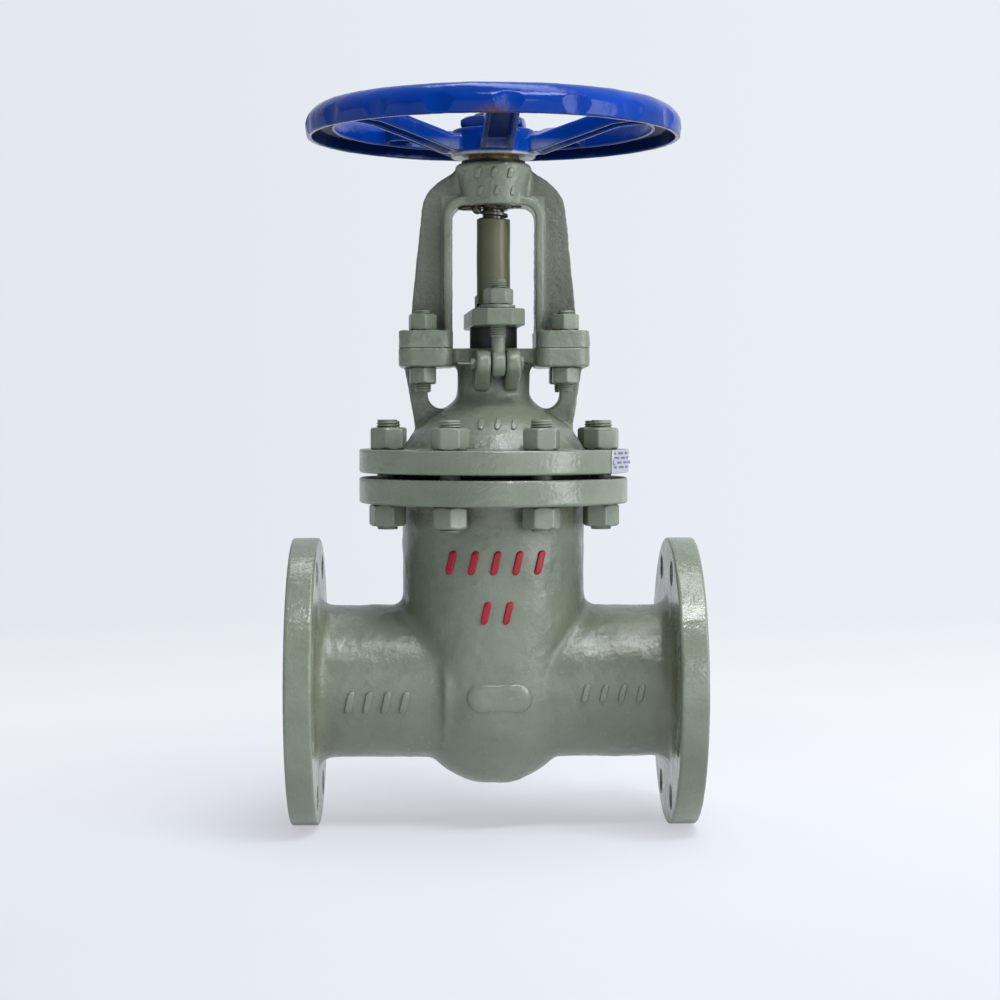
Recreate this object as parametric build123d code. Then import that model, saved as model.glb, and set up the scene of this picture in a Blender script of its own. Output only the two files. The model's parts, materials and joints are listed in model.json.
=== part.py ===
"""Flanged gate valve, nominal bore 100 mm: cast steel, bolted bonnet, outside screw and yoke, rising stem.

Frame: the origin is the centre of the pipe bore on the stem axis, +X runs along the pipe, +Z runs up the
stem, and -Y is the front, where the cast size marks are. Units are millimetres. The gate is shut at rest.
"""

from build123d import *
from math import cos, pi, radians, sin, sqrt, tan
import os

# ---------------------------------------------------------------- driving dimensions
FACE_TO_FACE = 305.0        # over the raised faces
BORE_D = 100.0
END_FLANGE_D, END_PCD, END_HOLE_D, END_HOLES = 215.0, 180.0, 18.0, 8
RAISED_FACE_D, RAISED_FACE_H = 155.0, 2.0
END_FLANGE_T = 20.0         # rim thickness, without the raised face
BARREL_D = 114.0
NECK_D = 136.0
NECK_WALL = 9.0
BOWL_DEPTH = 77.4           # pipe axis to the lowest point of the body
HOUSING_D, HOUSING_HALF_X = 123.0, 41.0     # thick ring of wall round the two seats
SKIN_R, HUB_SKIN_R, TOP_SKIN_R = 8.0, 10.0, 5.0     # fillets of barrel to neck, flange and joint
EDGE_CHAMFER = 1.0
CHAMBER_TOP_Z = 62.0        # above it the cavity is a plain round neck

JOINT_FLANGE_D, JOINT_PCD, JOINT_HOLES = 201.0, 170.0, 8
JOINT_HOLE_D = 18.0
BODY_FLANGE_Z = (134.4, 153.4)
BONNET_FLANGE_Z = (157.0, 174.5)
TONGUE_D = 148.0            # raised ring under the bonnet, which presses the gasket
GASKET_T = 1.6
DOME_R = 67.5               # where the dome meets the bonnet's flange
DOME_CURVE = [(64.2, 181.0), (59.0, 188.6), (50.0, 196.9), (37.5, 204.4), (30.0, 210.2)]
DOME_TOP_Z = 219.0

STUD_D, STUD_NUT_S, STUD_NUT_H = 16.0, 24.0, 16.0
STUD_Z = (116.0, 196.8)
YOKE_STUD_D, YOKE_NUT_S, YOKE_NUT_H = 12.0, 19.0, 12.0
YOKE_STUD_Z = (217.2, 276.8)
NUT_BORE_GAP = 0.06         # painted nuts sit this far off their studs

NECK_TOP_Z = 249.0          # top of the bonnet's plate, where the yoke's feet stand
PLATE_T = 13.8
FOOT_T = 13.0
PAD_X = (30.5, 70.3)        # inner and outer end of each pad
PAD_HALF_Y = 37.0
PAD_CORNER_R = 10.0
ARM_HALF_Y = 9.5
ARM_WINDOW_X, ARM_WINDOW_Z = 38.0, 222.3            # centre of the opening beside the neck
ARM_WINDOW_W, ARM_WINDOW_H, ARM_WINDOW_R = 23.0, 35.6, 10.5
YOKE_BOLT_X, YOKE_BOLT_Y = 52.7, 24.5
STUFFING_BOX_D, STUFFING_NECK_D = 36.0, 54.0
BOX_FLOOR_Z, PACKING_H, PACKING_RINGS = 213.0, 7.9, 4
BACKSEAT_Z, BUSH_D = 203.0, 33.0

HUB_Z = (355.5, 386.3)      # yoke hub, bottom and top
HUB_R = (24.6, 28.4)        # its radius at the bottom and at the top
WINDOW_HALF_X = 30.8
WINDOW_TOP_Z = 355.0
WINDOW_CORNER_R = 9.0
LEG_BAND = 6.4              # thickness of the leg's inner flange
LEG_HALF_Y = 17.0
LEG_WEB_HALF_Y = 6.5
LEG_FOOT_X, LEG_TOP = 63.2, (53.6, 352.0)           # outer edge of a leg, at its foot and its shoulder
SHOULDER_CURVE = [(50.9, 361.5), (45.0, 369.6), (36.0, 376.2)]
SHOULDER_END = (27.0, 383.0)

NUT_BARREL_R, NUT_COLLAR_R, NUT_NECK_R = 16.5, 20.6, 18.5      # stem nut, from the bottom up
NUT_BOTTOM_Z, NUT_TOP_Z = 356.5, 423.6
BEARING_R, BEARING_Z = 21.0, (362.0, 365.0, 372.0, 375.0)      # lower washer, collar, upper washer, ring
WASHER_R = 20.8
RING_FLANGE_R, RING_TOP_Z = 23.8, 388.8

STEM_D, THREAD_PITCH, THREAD_DEPTH = 22.0, 5.0, 2.75
THREAD_FLANK = 15.0
CREST_SHARE = 0.366         # width of a trapezoidal thread's crest, as a share of the pitch
THREAD_PLAY = 0.25          # gap between the stem's thread and the nut's plain bore
STROKE = 105.0              # lift from shut to open
STEM_THREAD_Z = (NUT_BOTTOM_Z - STROKE - 3.0, 419.0)            # still fills the nut when open

STEM_HEAD_Z, STEM_HEAD_H, STEM_NECK_D = 63.0, 9.0, 16.0
STEM_HEAD_X, STEM_HEAD_Y = 11.0, 16.5               # half sizes of the T-head
COLLAR_D, COLLAR_Z = 30.0, (85.5, 95.0)

WEDGE_ANGLE = 5.0
GATE_R = 55.0
GATE_HALF_T = 19.0          # at the pipe axis
SEAT_OD, SEAT_ROOT = 108.0, 38.0
CAVITY_HALF_X = 30.0
SEAT_GAP = 0.03
GUIDE_W, GUIDE_TIP_Y, GUIDE_Z = 8.0, 53.5, (-20.0, 132.0)
GATE_BOSS_X, GATE_BOSS_Y, GATE_BOSS_Z = 13.0, 22.0, 84.0       # half sizes and top of the stem's seat
FLEX_SLOT_HALF_X, FLEX_CORE_R = 3.5, 30.0           # slot that lets the gate's two faces flex
SLOT_PLAY = 0.4

GLAND_TOP_Z, GLAND_T = 277.3, 12.5
GLAND_HALF_X, GLAND_HALF_Y, GLAND_NOSE = 19.2, 56.0, 9.3
GLAND_TURN = 3.5            # the gland, its bolts and the ears sit turned by this angle about the stem
WASHER_D, WASHER_T = 24.8, 2.6
EYE_Y, PIN_Z = 42.0, 237.2
EYE_R, EYE_T, PIN_D = 9.2, 10.2, 8.0
EYE_BOLT_D, EYE_SHANK_D = 12.0, 10.0
EYE_THREAD_Z = (256.0, 298.4)
EAR_T, EAR_GAP, EAR_R = 11.2, 0.25, 10.0
EAR_ROOT_Y, EAR_ROOT_Z = 23.0, 218.0
EAR_ROOT_HALF_Y, EAR_SOFT_R = 9.0, 3.0
PIN_HEAD_D, PIN_HEAD_T = 10.6, 1.6
COTTER_D, COTTER_X = 1.4, -18.0
COTTER_REACH, COTTER_LEG = 6.0, 12.0

GUARD_R, GUARD_TOP_Z = (12.6, 11.3), 346.0
GUARD_SEAM_TURN = 37.0      # puts the sleeve's seam at another angle than the seams of the stem

WHEEL_D = 280.0
WHEEL_HUB_Z = (391.3, 412.0)
WHEEL_HUB_R = 31.3
SPOKES, FIRST_SPOKE = 5, -87.0
GRIPS, FIRST_GRIP, GRIP_R, GRIP_DEPTH = 18, -87.0, 50.0, 1.6
RIM_Z = (400.0, 430.0)      # a little more than the rim's height
SPOKE_HALF_W, SPOKE_WALL, SPOKE_H = 12.0, 4.0, 12.5
SPOKE_LINE = [(24.0, 394.5), (37.0, 394.8), (48.0, 398.6), (75.0, 407.2), (92.0, 412.6), (104.0, 414.0),
              (119.5, 414.0)]                       # underside of a spoke, as (radius, height)
HOLLOW_R = 34.0             # the spoke's hollow underside starts here
LOCK_NUT_S, LOCK_NUT_Z, LOCK_NUT_TURN = 46.0, (412.0, 420.8), 21.0
SPIGOT_D, LOCK_THREAD_D = 32.0, 30.0
KEY_W = 8.0

PLATE_ANGLES = (-33.0, -16.0, 1.0)                  # nameplate, from end to end round the bonnet's flange
RIVET_ANGLES = (-31.3, -0.7)
RIVET_R, RIVET_HEAD_R = 1.5, 2.4

RUN = 0.05                  # radial clearance of a running fit
EASY = 0.3                  # radial clearance of a loose fit
SNUG = 0.02                 # clearance of a pressed or packed fit
FAR = 200.0                 # beyond the reach of any part


# ---------------------------------------------------------------- helpers
def cyl(r, z0, z1, x=0.0, y=0.0):
    """Upright cylinder from z0 to z1."""
    return Pos(x, y, z0) * Cylinder(r, z1 - z0, align=(Align.CENTER, Align.CENTER, Align.MIN))


def tube(outer, inner, z0, z1, x=0.0, y=0.0):
    return cyl(outer, z0, z1, x, y) - cyl(inner, z0 - 1, z1 + 1, x, y)


def bar_x(r, x0, x1, y=0.0, z=0.0):
    """Cylinder along X from x0 to x1."""
    solid = Cylinder(r, x1 - x0, align=(Align.CENTER, Align.CENTER, Align.MIN))
    return Pos(x0, y, z) * Rot(0, 90, 0) * solid


def bar_y(r, y0, y1, x=0.0, z=0.0):
    """Cylinder along Y from y0 to y1."""
    solid = Cylinder(r, y1 - y0, align=(Align.CENTER, Align.CENTER, Align.MIN))
    return Pos(x, y0, z) * Rot(-90, 0, 0) * solid


def block(x, y, z):
    """Box from three (low, high) pairs."""
    box = Box(x[1] - x[0], y[1] - y[0], z[1] - z[0])
    return Pos((x[0] + x[1]) / 2, (y[0] + y[1]) / 2, (z[0] + z[1]) / 2) * box


def spin(points):
    """Solid of revolution about Z from an (r, z) outline."""
    face = make_face(Plane.XZ * Polyline(*points, close=True))
    return revolve(face, Axis.Z)


def plate_xz(points, half_y):
    """Upright plate from an (x, z) outline, half_y thick each way from the XZ plane."""
    return extrude(make_face(Plane.XZ * Polyline(*points, close=True)), half_y, both=True)


def joint_angles(count=JOINT_HOLES):
    """Hole angles that straddle the axes."""
    return [360 / count * (i + 0.5) for i in range(count)]


def around(radius, angles):
    return [(radius * cos(radians(a)), radius * sin(radians(a))) for a in angles]


def hex_nut(across_flats, bore_r, z0, z1, x=0.0, y=0.0, turn=0.0):
    """Hexagon nut with its corners turned off at 30 degrees at both ends."""
    corner = across_flats / sqrt(3)
    prism = extrude(RegularPolygon(corner, 6), z1 - z0)
    flat = across_flats / 2 * 0.98
    drop = (corner - flat) * tan(radians(30))
    height = z1 - z0
    crown = spin([(0, 0), (flat, 0), (corner, drop), (corner, height - drop), (flat, height), (0, height)])
    nut = (prism & crown) - cyl(bore_r, -1, height + 1)
    return Pos(x, y, z0) * Rot(0, 0, turn) * nut


def stud(d, z0, z1, x, y):
    """Stud with chamfered ends."""
    rod = Cylinder(d / 2, z1 - z0, align=(Align.CENTER, Align.CENTER, Align.MIN))
    rod = chamfer(rod.edges().filter_by(GeomType.CIRCLE), d * 0.08)
    return Pos(x, y, z0) * rod


def group(solids):
    """Separate solids kept in one node."""
    return Compound(children=[s.solid() if not isinstance(s, Solid) else s for s in solids])


def rounded(solid, edges, radius):
    """Fillet that leaves the solid as it is if the kernel can't make it."""
    for r in (radius, radius * 0.7, radius * 0.4):
        try:
            made = fillet(edges, r)
            if made.is_valid and made.volume > 0:
                return made
        except Exception:
            continue
    print("no fillet of", radius)
    return solid


def thread_ridge(root_r, crest_r, root_w, crest_w, z0, z1):
    """Left-hand trapezoidal ridge on a helix that starts a turn below z0 and ends a turn above z1."""
    low = z0 - THREAD_PITCH
    path = Helix(THREAD_PITCH, z1 - low + THREAD_PITCH, root_r, center=(0, 0, low), lefthand=True)
    outline = Polyline(
        (root_r, low - root_w / 2), (crest_r, low - crest_w / 2),
        (crest_r, low + crest_w / 2), (root_r, low + root_w / 2), close=True,
    )
    return sweep(make_face(Plane.XZ * outline), path=path, is_frenet=True)


# ---------------------------------------------------------------- body and what is pressed into it
def body():
    neck_r, flange_x = NECK_D / 2, FACE_TO_FACE / 2 - RAISED_FACE_H
    flange_back = flange_x - END_FLANGE_T
    core = bowl(neck_r, BOWL_DEPTH) + cyl(neck_r, 0, BODY_FLANGE_Z[0] + 1)
    core = core + bar_x(BARREL_D / 2, -flange_x + 1, flange_x - 1)
    plain = (GeomType.CIRCLE, GeomType.LINE, GeomType.ELLIPSE)
    joined = [e for e in core.edges() if e.geom_type not in plain and e.length > 20]
    core = rounded(core, joined, SKIN_R)
    housing = bar_x(HOUSING_D / 2, -HOUSING_HALF_X, HOUSING_HALF_X)
    housing = chamfer(housing.edges().filter_by(GeomType.CIRCLE), (HOUSING_D - BARREL_D) / 2)
    shell = core + housing + end_flanges(flange_back, flange_x)
    shell = shell + chamfered_disc(JOINT_FLANGE_D, *BODY_FLANGE_Z)
    round_edges = shell.edges().filter_by(GeomType.CIRCLE)
    hub_edges = [
        e for e in round_edges
        if abs(e.radius - BARREL_D / 2) < 0.01 and abs(abs(e.arc_center.X) - flange_back) < 0.01
    ]
    shell = rounded(shell, hub_edges, HUB_SKIN_R)
    round_edges = shell.edges().filter_by(GeomType.CIRCLE)
    neck_edges = [
        e for e in round_edges
        if abs(e.radius - neck_r) < 0.01 and abs(e.arc_center.Z - BODY_FLANGE_Z[0]) < 0.01
    ]
    shell = rounded(shell, neck_edges, TOP_SKIN_R)
    return shell - body_cavity() - end_holes() - joint_holes(BODY_FLANGE_Z) + guides()


def bowl(radius, depth):
    """Half ellipsoid that hangs below the pipe axis."""
    arc = [(radius * cos(t), -depth * sin(t)) for t in [pi / 2 * i / 16 for i in range(17)]]
    return revolve(make_face([
        Plane.XZ * Polyline((0, -depth), (0, 1), (radius, 1), arc[0]),
        Plane.XZ * Spline(*arc, tangents=((0, -1), (-1, 0))),
    ]), Axis.Z)


def chamfered_disc(d, z0, z1):
    disc = cyl(d / 2, z0, z1)
    return chamfer(disc.edges().filter_by(GeomType.CIRCLE), EDGE_CHAMFER)


def end_flanges(back, front):
    """Both end flanges with their raised faces."""
    made = []
    for side in (-1, 1):
        disc = bar_x(END_FLANGE_D / 2, *sorted((side * back, side * front)))
        made.append(chamfer(disc.edges().filter_by(GeomType.CIRCLE), EDGE_CHAMFER))
        made.append(bar_x(RAISED_FACE_D / 2, *sorted((side * front, side * FACE_TO_FACE / 2))))
    return made


def body_cavity():
    """Flow bore, seat pockets, gate chamber and the open neck above it."""
    inner_r = NECK_D / 2 - NECK_WALL
    depth = BOWL_DEPTH - NECK_WALL
    span = (-CAVITY_HALF_X, CAVITY_HALF_X)
    chamber = cyl(inner_r, 0, CHAMBER_TOP_Z) + scale(Sphere(inner_r), by=(1, 1, depth / inner_r))
    chamber = chamber & block(span, (-FAR, FAR), (-FAR, CHAMBER_TOP_Z))
    neck = cyl(inner_r, CHAMBER_TOP_Z, BODY_FLANGE_Z[1] + 1)
    pockets = bar_x(SEAT_OD / 2 + SNUG, -SEAT_ROOT, SEAT_ROOT)
    return bar_x(BORE_D / 2, -FAR, FAR) + chamber + neck + pockets


def end_holes():
    return [
        bar_x(END_HOLE_D / 2, -FAR, FAR, y, z) - bar_x(END_HOLE_D, -FACE_TO_FACE / 3, FACE_TO_FACE / 3, y, z)
        for y, z in around(END_PCD / 2, joint_angles(END_HOLES))
    ]


def joint_places():
    return around(JOINT_PCD / 2, joint_angles())


def joint_holes(span):
    return [cyl(JOINT_HOLE_D / 2, span[0] - 1, span[1] + 1, x, y) for x, y in joint_places()]


def guides():
    """Upright ribs that keep the gate square to the seats, sunk 2 mm into the wall."""
    wall = NECK_D / 2 - NECK_WALL + 2
    column = cyl(wall, *GUIDE_Z)
    span = (-GUIDE_W / 2, GUIDE_W / 2)
    return [block(span, sorted((side * GUIDE_TIP_Y, side * wall)), GUIDE_Z) & column for side in (-1, 1)]


def wedge_block(half_t, reach):
    """Space between two planes that open upwards by the wedge angle from half_t at the pipe axis."""
    lean = reach * tan(radians(WEDGE_ANGLE))
    low, high = half_t - lean, half_t + lean
    return plate_xz([(-low, -reach), (low, -reach), (high, reach), (-high, reach)], reach)


def seat_ring(side):
    """Pressed-in ring whose sealing face leans with the gate."""
    ring = bar_x(SEAT_OD / 2, *sorted((0, side * (SEAT_ROOT - SNUG)))) - bar_x(BORE_D / 2, -FAR, FAR)
    return (ring - wedge_block(GATE_HALF_T + SEAT_GAP, BOWL_DEPTH)).solid()


# ---------------------------------------------------------------- bonnet
def bonnet():
    z0, z1 = BONNET_FLANGE_Z
    neck_r = STUFFING_NECK_D / 2
    base, top = (DOME_R, z1), (neck_r, DOME_TOP_Z)
    outline = [
        Plane.XZ * Spline(base, *DOME_CURVE, top, tangents=((-0.35, 1), (0, 1))),
        Plane.XZ * Polyline(top, (neck_r, NECK_TOP_Z), (0, NECK_TOP_Z), (0, z1), base),
    ]
    dome = revolve(make_face(outline), Axis.Z)
    tongue = cyl(TONGUE_D / 2, BODY_FLANGE_Z[1] + GASKET_T, z0)
    shell = dome + chamfered_disc(JOINT_FLANGE_D, z0, z1) + tongue + top_plate() + arms() + lugs()
    shell = shell - bonnet_cavity() - joint_holes(BONNET_FLANGE_Z)
    return shell - yoke_bolt_holes(NECK_TOP_Z - PLATE_T, NECK_TOP_Z)


def pad(side, z0, z1):
    """Foot-shaped pad with round corners."""
    length, centre = PAD_X[1] - PAD_X[0], (PAD_X[0] + PAD_X[1]) / 2
    face = RectangleRounded(length, 2 * PAD_HALF_Y, PAD_CORNER_R)
    return Pos(side * centre, 0, z0) * extrude(face, z1 - z0)


def top_plate():
    """Two pads joined by a slightly thinner bridge round the packing box."""
    z0, z1 = NECK_TOP_Z - PLATE_T, NECK_TOP_Z
    bridge_z = (z0 + PLATE_T / 5, z1)
    reach = PAD_X[0] + 5
    bridge = cyl(STUFFING_NECK_D / 2 + 3, *bridge_z) + block((-reach, reach), (-24, 24), bridge_z)
    return [pad(-1, z0, z1), pad(1, z0, z1), bridge]


def arms():
    """Webs that carry the pads down to the dome, with a round-cornered window beside the neck."""
    outline = [(57.5, 180.0), (59.0, 192.0), (66.5, 237.0), (20.0, 237.0), (20.0, 180.0)]
    window = RectangleRounded(ARM_WINDOW_W, ARM_WINDOW_H, ARM_WINDOW_R)
    window = extrude(Plane.XZ * Pos(ARM_WINDOW_X, ARM_WINDOW_Z) * window, 2 * ARM_HALF_Y, both=True)
    arm = plate_xz(outline, ARM_HALF_Y) - window
    return [arm, mirror(arm, Plane.YZ)]


def lugs():
    """Two pairs of ears that hold the eye bolts' pins."""
    tip = Pos(EYE_Y, PIN_Z) * Circle(EAR_R)
    root_h = PIN_Z + EAR_R - EAR_ROOT_Z
    root = Pos(EAR_ROOT_Y, EAR_ROOT_Z + root_h / 2) * Rectangle(2 * EAR_ROOT_HALF_Y, root_h)
    outline = make_hull(tip.edges() + root.edges())
    ear = Pos(EYE_T / 2 + EAR_GAP, 0, 0) * extrude(Plane.YZ * outline, EAR_T)
    ear = rounded(ear, [e for e in ear.edges() if e.bounding_box().size.X < 0.1], EAR_SOFT_R)
    ear = ear - bar_x(PIN_D / 2 + SNUG, 0, 3 * EAR_T, EYE_Y, PIN_Z)
    pair = [ear, mirror(ear, Plane.YZ)]
    return [turned(e) for e in pair + [mirror(e, Plane.XZ) for e in pair]]


def bonnet_cavity():
    """Room above the gate, the bush's seat, and the packing box."""
    z0 = BODY_FLANGE_Z[1]
    room = spin([(0, z0), (59, z0), (58, 174), (50, 187), (38, 196.5), (22, BACKSEAT_Z), (0, BACKSEAT_Z)])
    return [
        room,
        cyl(BUSH_D / 2 + SNUG, BACKSEAT_Z - 1, BOX_FLOOR_Z),
        cyl(STUFFING_BOX_D / 2, BOX_FLOOR_Z, NECK_TOP_Z + 1),
    ]


def yoke_bolt_places():
    return [(sx * YOKE_BOLT_X, sy * YOKE_BOLT_Y) for sx in (-1, 1) for sy in (-1, 1)]


def yoke_bolt_holes(z0, z1):
    return [cyl(YOKE_STUD_D / 2 + 0.7, z0 - 1, z1 + 1, x, y) for x, y in yoke_bolt_places()]


def gasket():
    z0 = BODY_FLANGE_Z[1]
    return tube(TONGUE_D / 2 - 1, NECK_D / 2 - NECK_WALL + 2, z0, z0 + GASKET_T)


def backseat_bush():
    """Bush that guides the stem, with a cone the open stem seals against."""
    bore_r, low, high = STEM_D / 2 + RUN, BACKSEAT_Z - 1, BACKSEAT_Z + 3
    bush = tube(BUSH_D / 2, bore_r, BACKSEAT_Z, BOX_FLOOR_Z)
    return bush - spin([(0, low), (COLLAR_D / 2, low), (bore_r, high), (0, high)])


def packing_rings():
    """Stack of square-section rings on the floor of the box."""
    floors = [BOX_FLOOR_Z + i * PACKING_H for i in range(PACKING_RINGS)]
    radii = (STUFFING_BOX_D / 2 - SNUG, STEM_D / 2 + RUN)
    return group([tube(*radii, z + SNUG, z + PACKING_H - SNUG) for z in floors])


# ---------------------------------------------------------------- gland and eye bolts
def turned(solid):
    """The gland, the eye bolts and their ears all sit at one small angle about the stem."""
    return Rot(0, 0, GLAND_TURN) * solid


def gland_follower():
    z0, z1 = BOX_FLOOR_Z + PACKING_RINGS * PACKING_H + 0.1, GLAND_TOP_Z - GLAND_T    # rests on the packing
    return tube(STUFFING_BOX_D / 2 - EASY, STEM_D / 2 + EASY, z0, z1)


def gland_flange():
    """Long plate with bevelled noses, a hole for the stem and two for the eye bolts."""
    shoulder_y = GLAND_HALF_Y - (GLAND_HALF_X - GLAND_NOSE)
    outline = [(-GLAND_HALF_X, -shoulder_y), (-GLAND_NOSE, -GLAND_HALF_Y), (GLAND_NOSE, -GLAND_HALF_Y),
               (GLAND_HALF_X, -shoulder_y)]
    outline += [(-x, -y) for x, y in outline]
    face = make_face(Polyline(*outline, close=True))
    plate = Pos(0, 0, GLAND_TOP_Z - GLAND_T) * extrude(face, GLAND_T)
    plate = rounded(plate, plate.edges(), 1.2)
    span = (GLAND_TOP_Z - GLAND_T - 1, GLAND_TOP_Z + 1)
    plate = plate - cyl(STEM_D / 2 + 0.8, *span)
    return plate - [cyl(EYE_BOLT_D / 2 + 1.2, *span, 0, y) for y in (-EYE_Y, EYE_Y)]


def eye_bolt(front):
    y = front * EYE_Y
    eye = bar_x(EYE_R, -EYE_T / 2, EYE_T / 2, y, PIN_Z)
    eye = chamfer(eye.edges().filter_by(GeomType.CIRCLE), 1.2)
    shank = cyl(EYE_SHANK_D / 2, PIN_Z, EYE_THREAD_Z[0] + 2, 0, y)
    threaded = stud(EYE_BOLT_D, *EYE_THREAD_Z, 0, y)
    return (eye + shank + threaded - bar_x(PIN_D / 2 + RUN, -20, 20, y, PIN_Z)).solid()


def eye_pin(front):
    """Headed pin through the ears and the eye, cross-drilled at its plain end for a split pin."""
    y, reach = front * EYE_Y, EYE_T / 2 + EAR_GAP + EAR_T
    plain_end = COTTER_X - PIN_D / 4
    shank = bar_x(PIN_D / 2, plain_end, reach + PIN_HEAD_T, y, PIN_Z)
    head = bar_x(PIN_HEAD_D / 2, reach + 0.1, reach + PIN_HEAD_T, y, PIN_Z)
    return (shank + head - bar_y(COTTER_D / 2 + RUN, y - PIN_D, y + PIN_D, COTTER_X, PIN_Z)).solid()


def split_pin(front):
    """Wire through the eye pin's end, with its outer leg bent along the pipe."""
    inner, outer = front * (EYE_Y - COTTER_REACH), front * (EYE_Y + COTTER_REACH)
    corner, leg_end = (COTTER_X, outer, PIN_Z), (COTTER_X - COTTER_LEG, outer, PIN_Z)
    path = FilletPolyline((COTTER_X, inner, PIN_Z), corner, leg_end, radius=1.6)
    wire_end = Plane(origin=(COTTER_X, inner, PIN_Z), z_dir=(0, front, 0))
    return sweep(wire_end * Circle(COTTER_D / 2), path=path)


def gland_washer(front):
    return tube(WASHER_D / 2, EYE_BOLT_D / 2 + 0.4, GLAND_TOP_Z, GLAND_TOP_Z + WASHER_T, 0, front * EYE_Y)


def gland_nut(front):
    z0 = GLAND_TOP_Z + WASHER_T
    bore_r = EYE_BOLT_D / 2 + NUT_BORE_GAP
    return hex_nut(YOKE_NUT_S, bore_r, z0, z0 + YOKE_NUT_H, 0, front * EYE_Y, 4.0 * front)


# ---------------------------------------------------------------- yoke
def yoke():
    """Two T-section legs on bolted feet, joined by the hub that holds the stem nut's bearings."""
    foot_top = NECK_TOP_Z + FOOT_T
    inner_top, inner_low = WINDOW_TOP_Z - 15, foot_top - FOOT_T / 2
    outline = [
        Plane.XZ * Polyline(
            LEG_TOP, (LEG_FOOT_X, inner_low), (WINDOW_HALF_X + 2, inner_low), (20.0, inner_top),
            (0, inner_top), (0, SHOULDER_END[1]), SHOULDER_END,
        ),
        Plane.XZ * Spline(LEG_TOP, *SHOULDER_CURVE, SHOULDER_END, tangents=((-0.1, 1), (-1, 1.1))),
    ]
    web = extrude(make_face(outline), LEG_WEB_HALF_Y, both=True)
    band_x, band_top = WINDOW_HALF_X + LEG_BAND, WINDOW_TOP_Z + LEG_BAND
    band = window_prism(band_x, band_top, WINDOW_CORNER_R + LEG_BAND, LEG_HALF_Y, NECK_TOP_Z)
    frame = web + mirror(web, Plane.YZ) + band
    frame = frame - window_prism(WINDOW_HALF_X, WINDOW_TOP_Z, WINDOW_CORNER_R, FAR, BOX_FLOOR_Z)
    low, high = HUB_Z
    hub = spin([(0, low), (HUB_R[0], low), (HUB_R[1], high - 2), (HUB_R[1] - 2, high), (0, high)])
    frame = frame + hub + [pad(side, NECK_TOP_Z, foot_top) for side in (-1, 1)]
    frame = frame - cyl(NUT_BARREL_R, low - 2 * LEG_BAND, high + 1) - cyl(BEARING_R, BEARING_Z[0], high + 1)
    return (frame - yoke_bolt_holes(NECK_TOP_Z, foot_top)).solid()


def window_prism(half_x, top, corner, half_y, bottom):
    """Upright opening with round upper corners, half_y deep each way."""
    height = top - bottom
    face = RectangleRounded(2 * half_x, 2 * height, corner)
    prism = extrude(Plane.XZ * Pos(0, bottom) * face, half_y, both=True)
    return prism & block((-FAR, FAR), (-FAR, FAR), (bottom, top + 1))


def thrust_washer(z0, bore_r):
    """Flat bearing washer with 0.01 mm to spare at each face."""
    thick = BEARING_Z[1] - BEARING_Z[0]
    return tube(WASHER_R, bore_r, z0 + 0.01, z0 + thick - 0.01)


def retaining_ring():
    """Flanged ring screwed into the hub's mouth, with two spanner slots."""
    bore_r, seat_z = NUT_NECK_R + RUN, HUB_Z[1]
    ring = tube(BEARING_R - RUN, bore_r, BEARING_Z[3] + SNUG, seat_z)
    ring = ring + tube(RING_FLANGE_R, bore_r, seat_z, RING_TOP_Z)
    slot_z = (RING_TOP_Z - 1.8, RING_TOP_Z + 1)
    return ring - [block((-2.5, 2.5), sorted((s * (BEARING_R - 0.5), s * 25)), slot_z) for s in (-1, 1)]


# ---------------------------------------------------------------- drive: wheel, stem nut and stem
def stem_nut():
    """Collared nut that carries the wheel; its bore is left plain and clears the stem's thread."""
    hub_low, hub_high = WHEEL_HUB_Z
    barrel_r, spigot_r, lock_r = NUT_BARREL_R - RUN, SPIGOT_D / 2, LOCK_THREAD_D / 2
    collar_low, collar_high = BEARING_Z[1] + RUN, BEARING_Z[2] - RUN
    outer = spin([
        (0, NUT_BOTTOM_Z), (barrel_r, NUT_BOTTOM_Z), (barrel_r, collar_low), (NUT_COLLAR_R, collar_low),
        (NUT_COLLAR_R, collar_high), (NUT_NECK_R, collar_high), (NUT_NECK_R, hub_low), (spigot_r, hub_low),
        (spigot_r, hub_high - 0.5), (lock_r, hub_high - 0.5), (lock_r, NUT_TOP_Z - 1),
        (lock_r - 1, NUT_TOP_Z), (0, NUT_TOP_Z),
    ])
    outer = outer - cyl(STEM_D / 2 + THREAD_PLAY, NUT_BOTTOM_Z - 1, NUT_TOP_Z + 1)
    return (outer - key_slot(spigot_r - KEY_W / 2, spigot_r + 1)).solid()


def key_slot(r0, r1):
    """Keyway through the wheel's hub, from one radius to another."""
    return block((r0, r1), (-KEY_W / 2, KEY_W / 2), WHEEL_HUB_Z)


def wheel_key():
    spigot_r, half_w = SPIGOT_D / 2, KEY_W / 2 - 0.03
    span = (spigot_r - KEY_W / 2 + RUN, spigot_r + 2.9)
    return block(span, (-half_w, half_w), (WHEEL_HUB_Z[0] + 0.1, WHEEL_HUB_Z[1] - 0.6))


def lock_nut():
    return hex_nut(LOCK_NUT_S, LOCK_THREAD_D / 2 + RUN, *LOCK_NUT_Z, turn=LOCK_NUT_TURN + 30)


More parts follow.
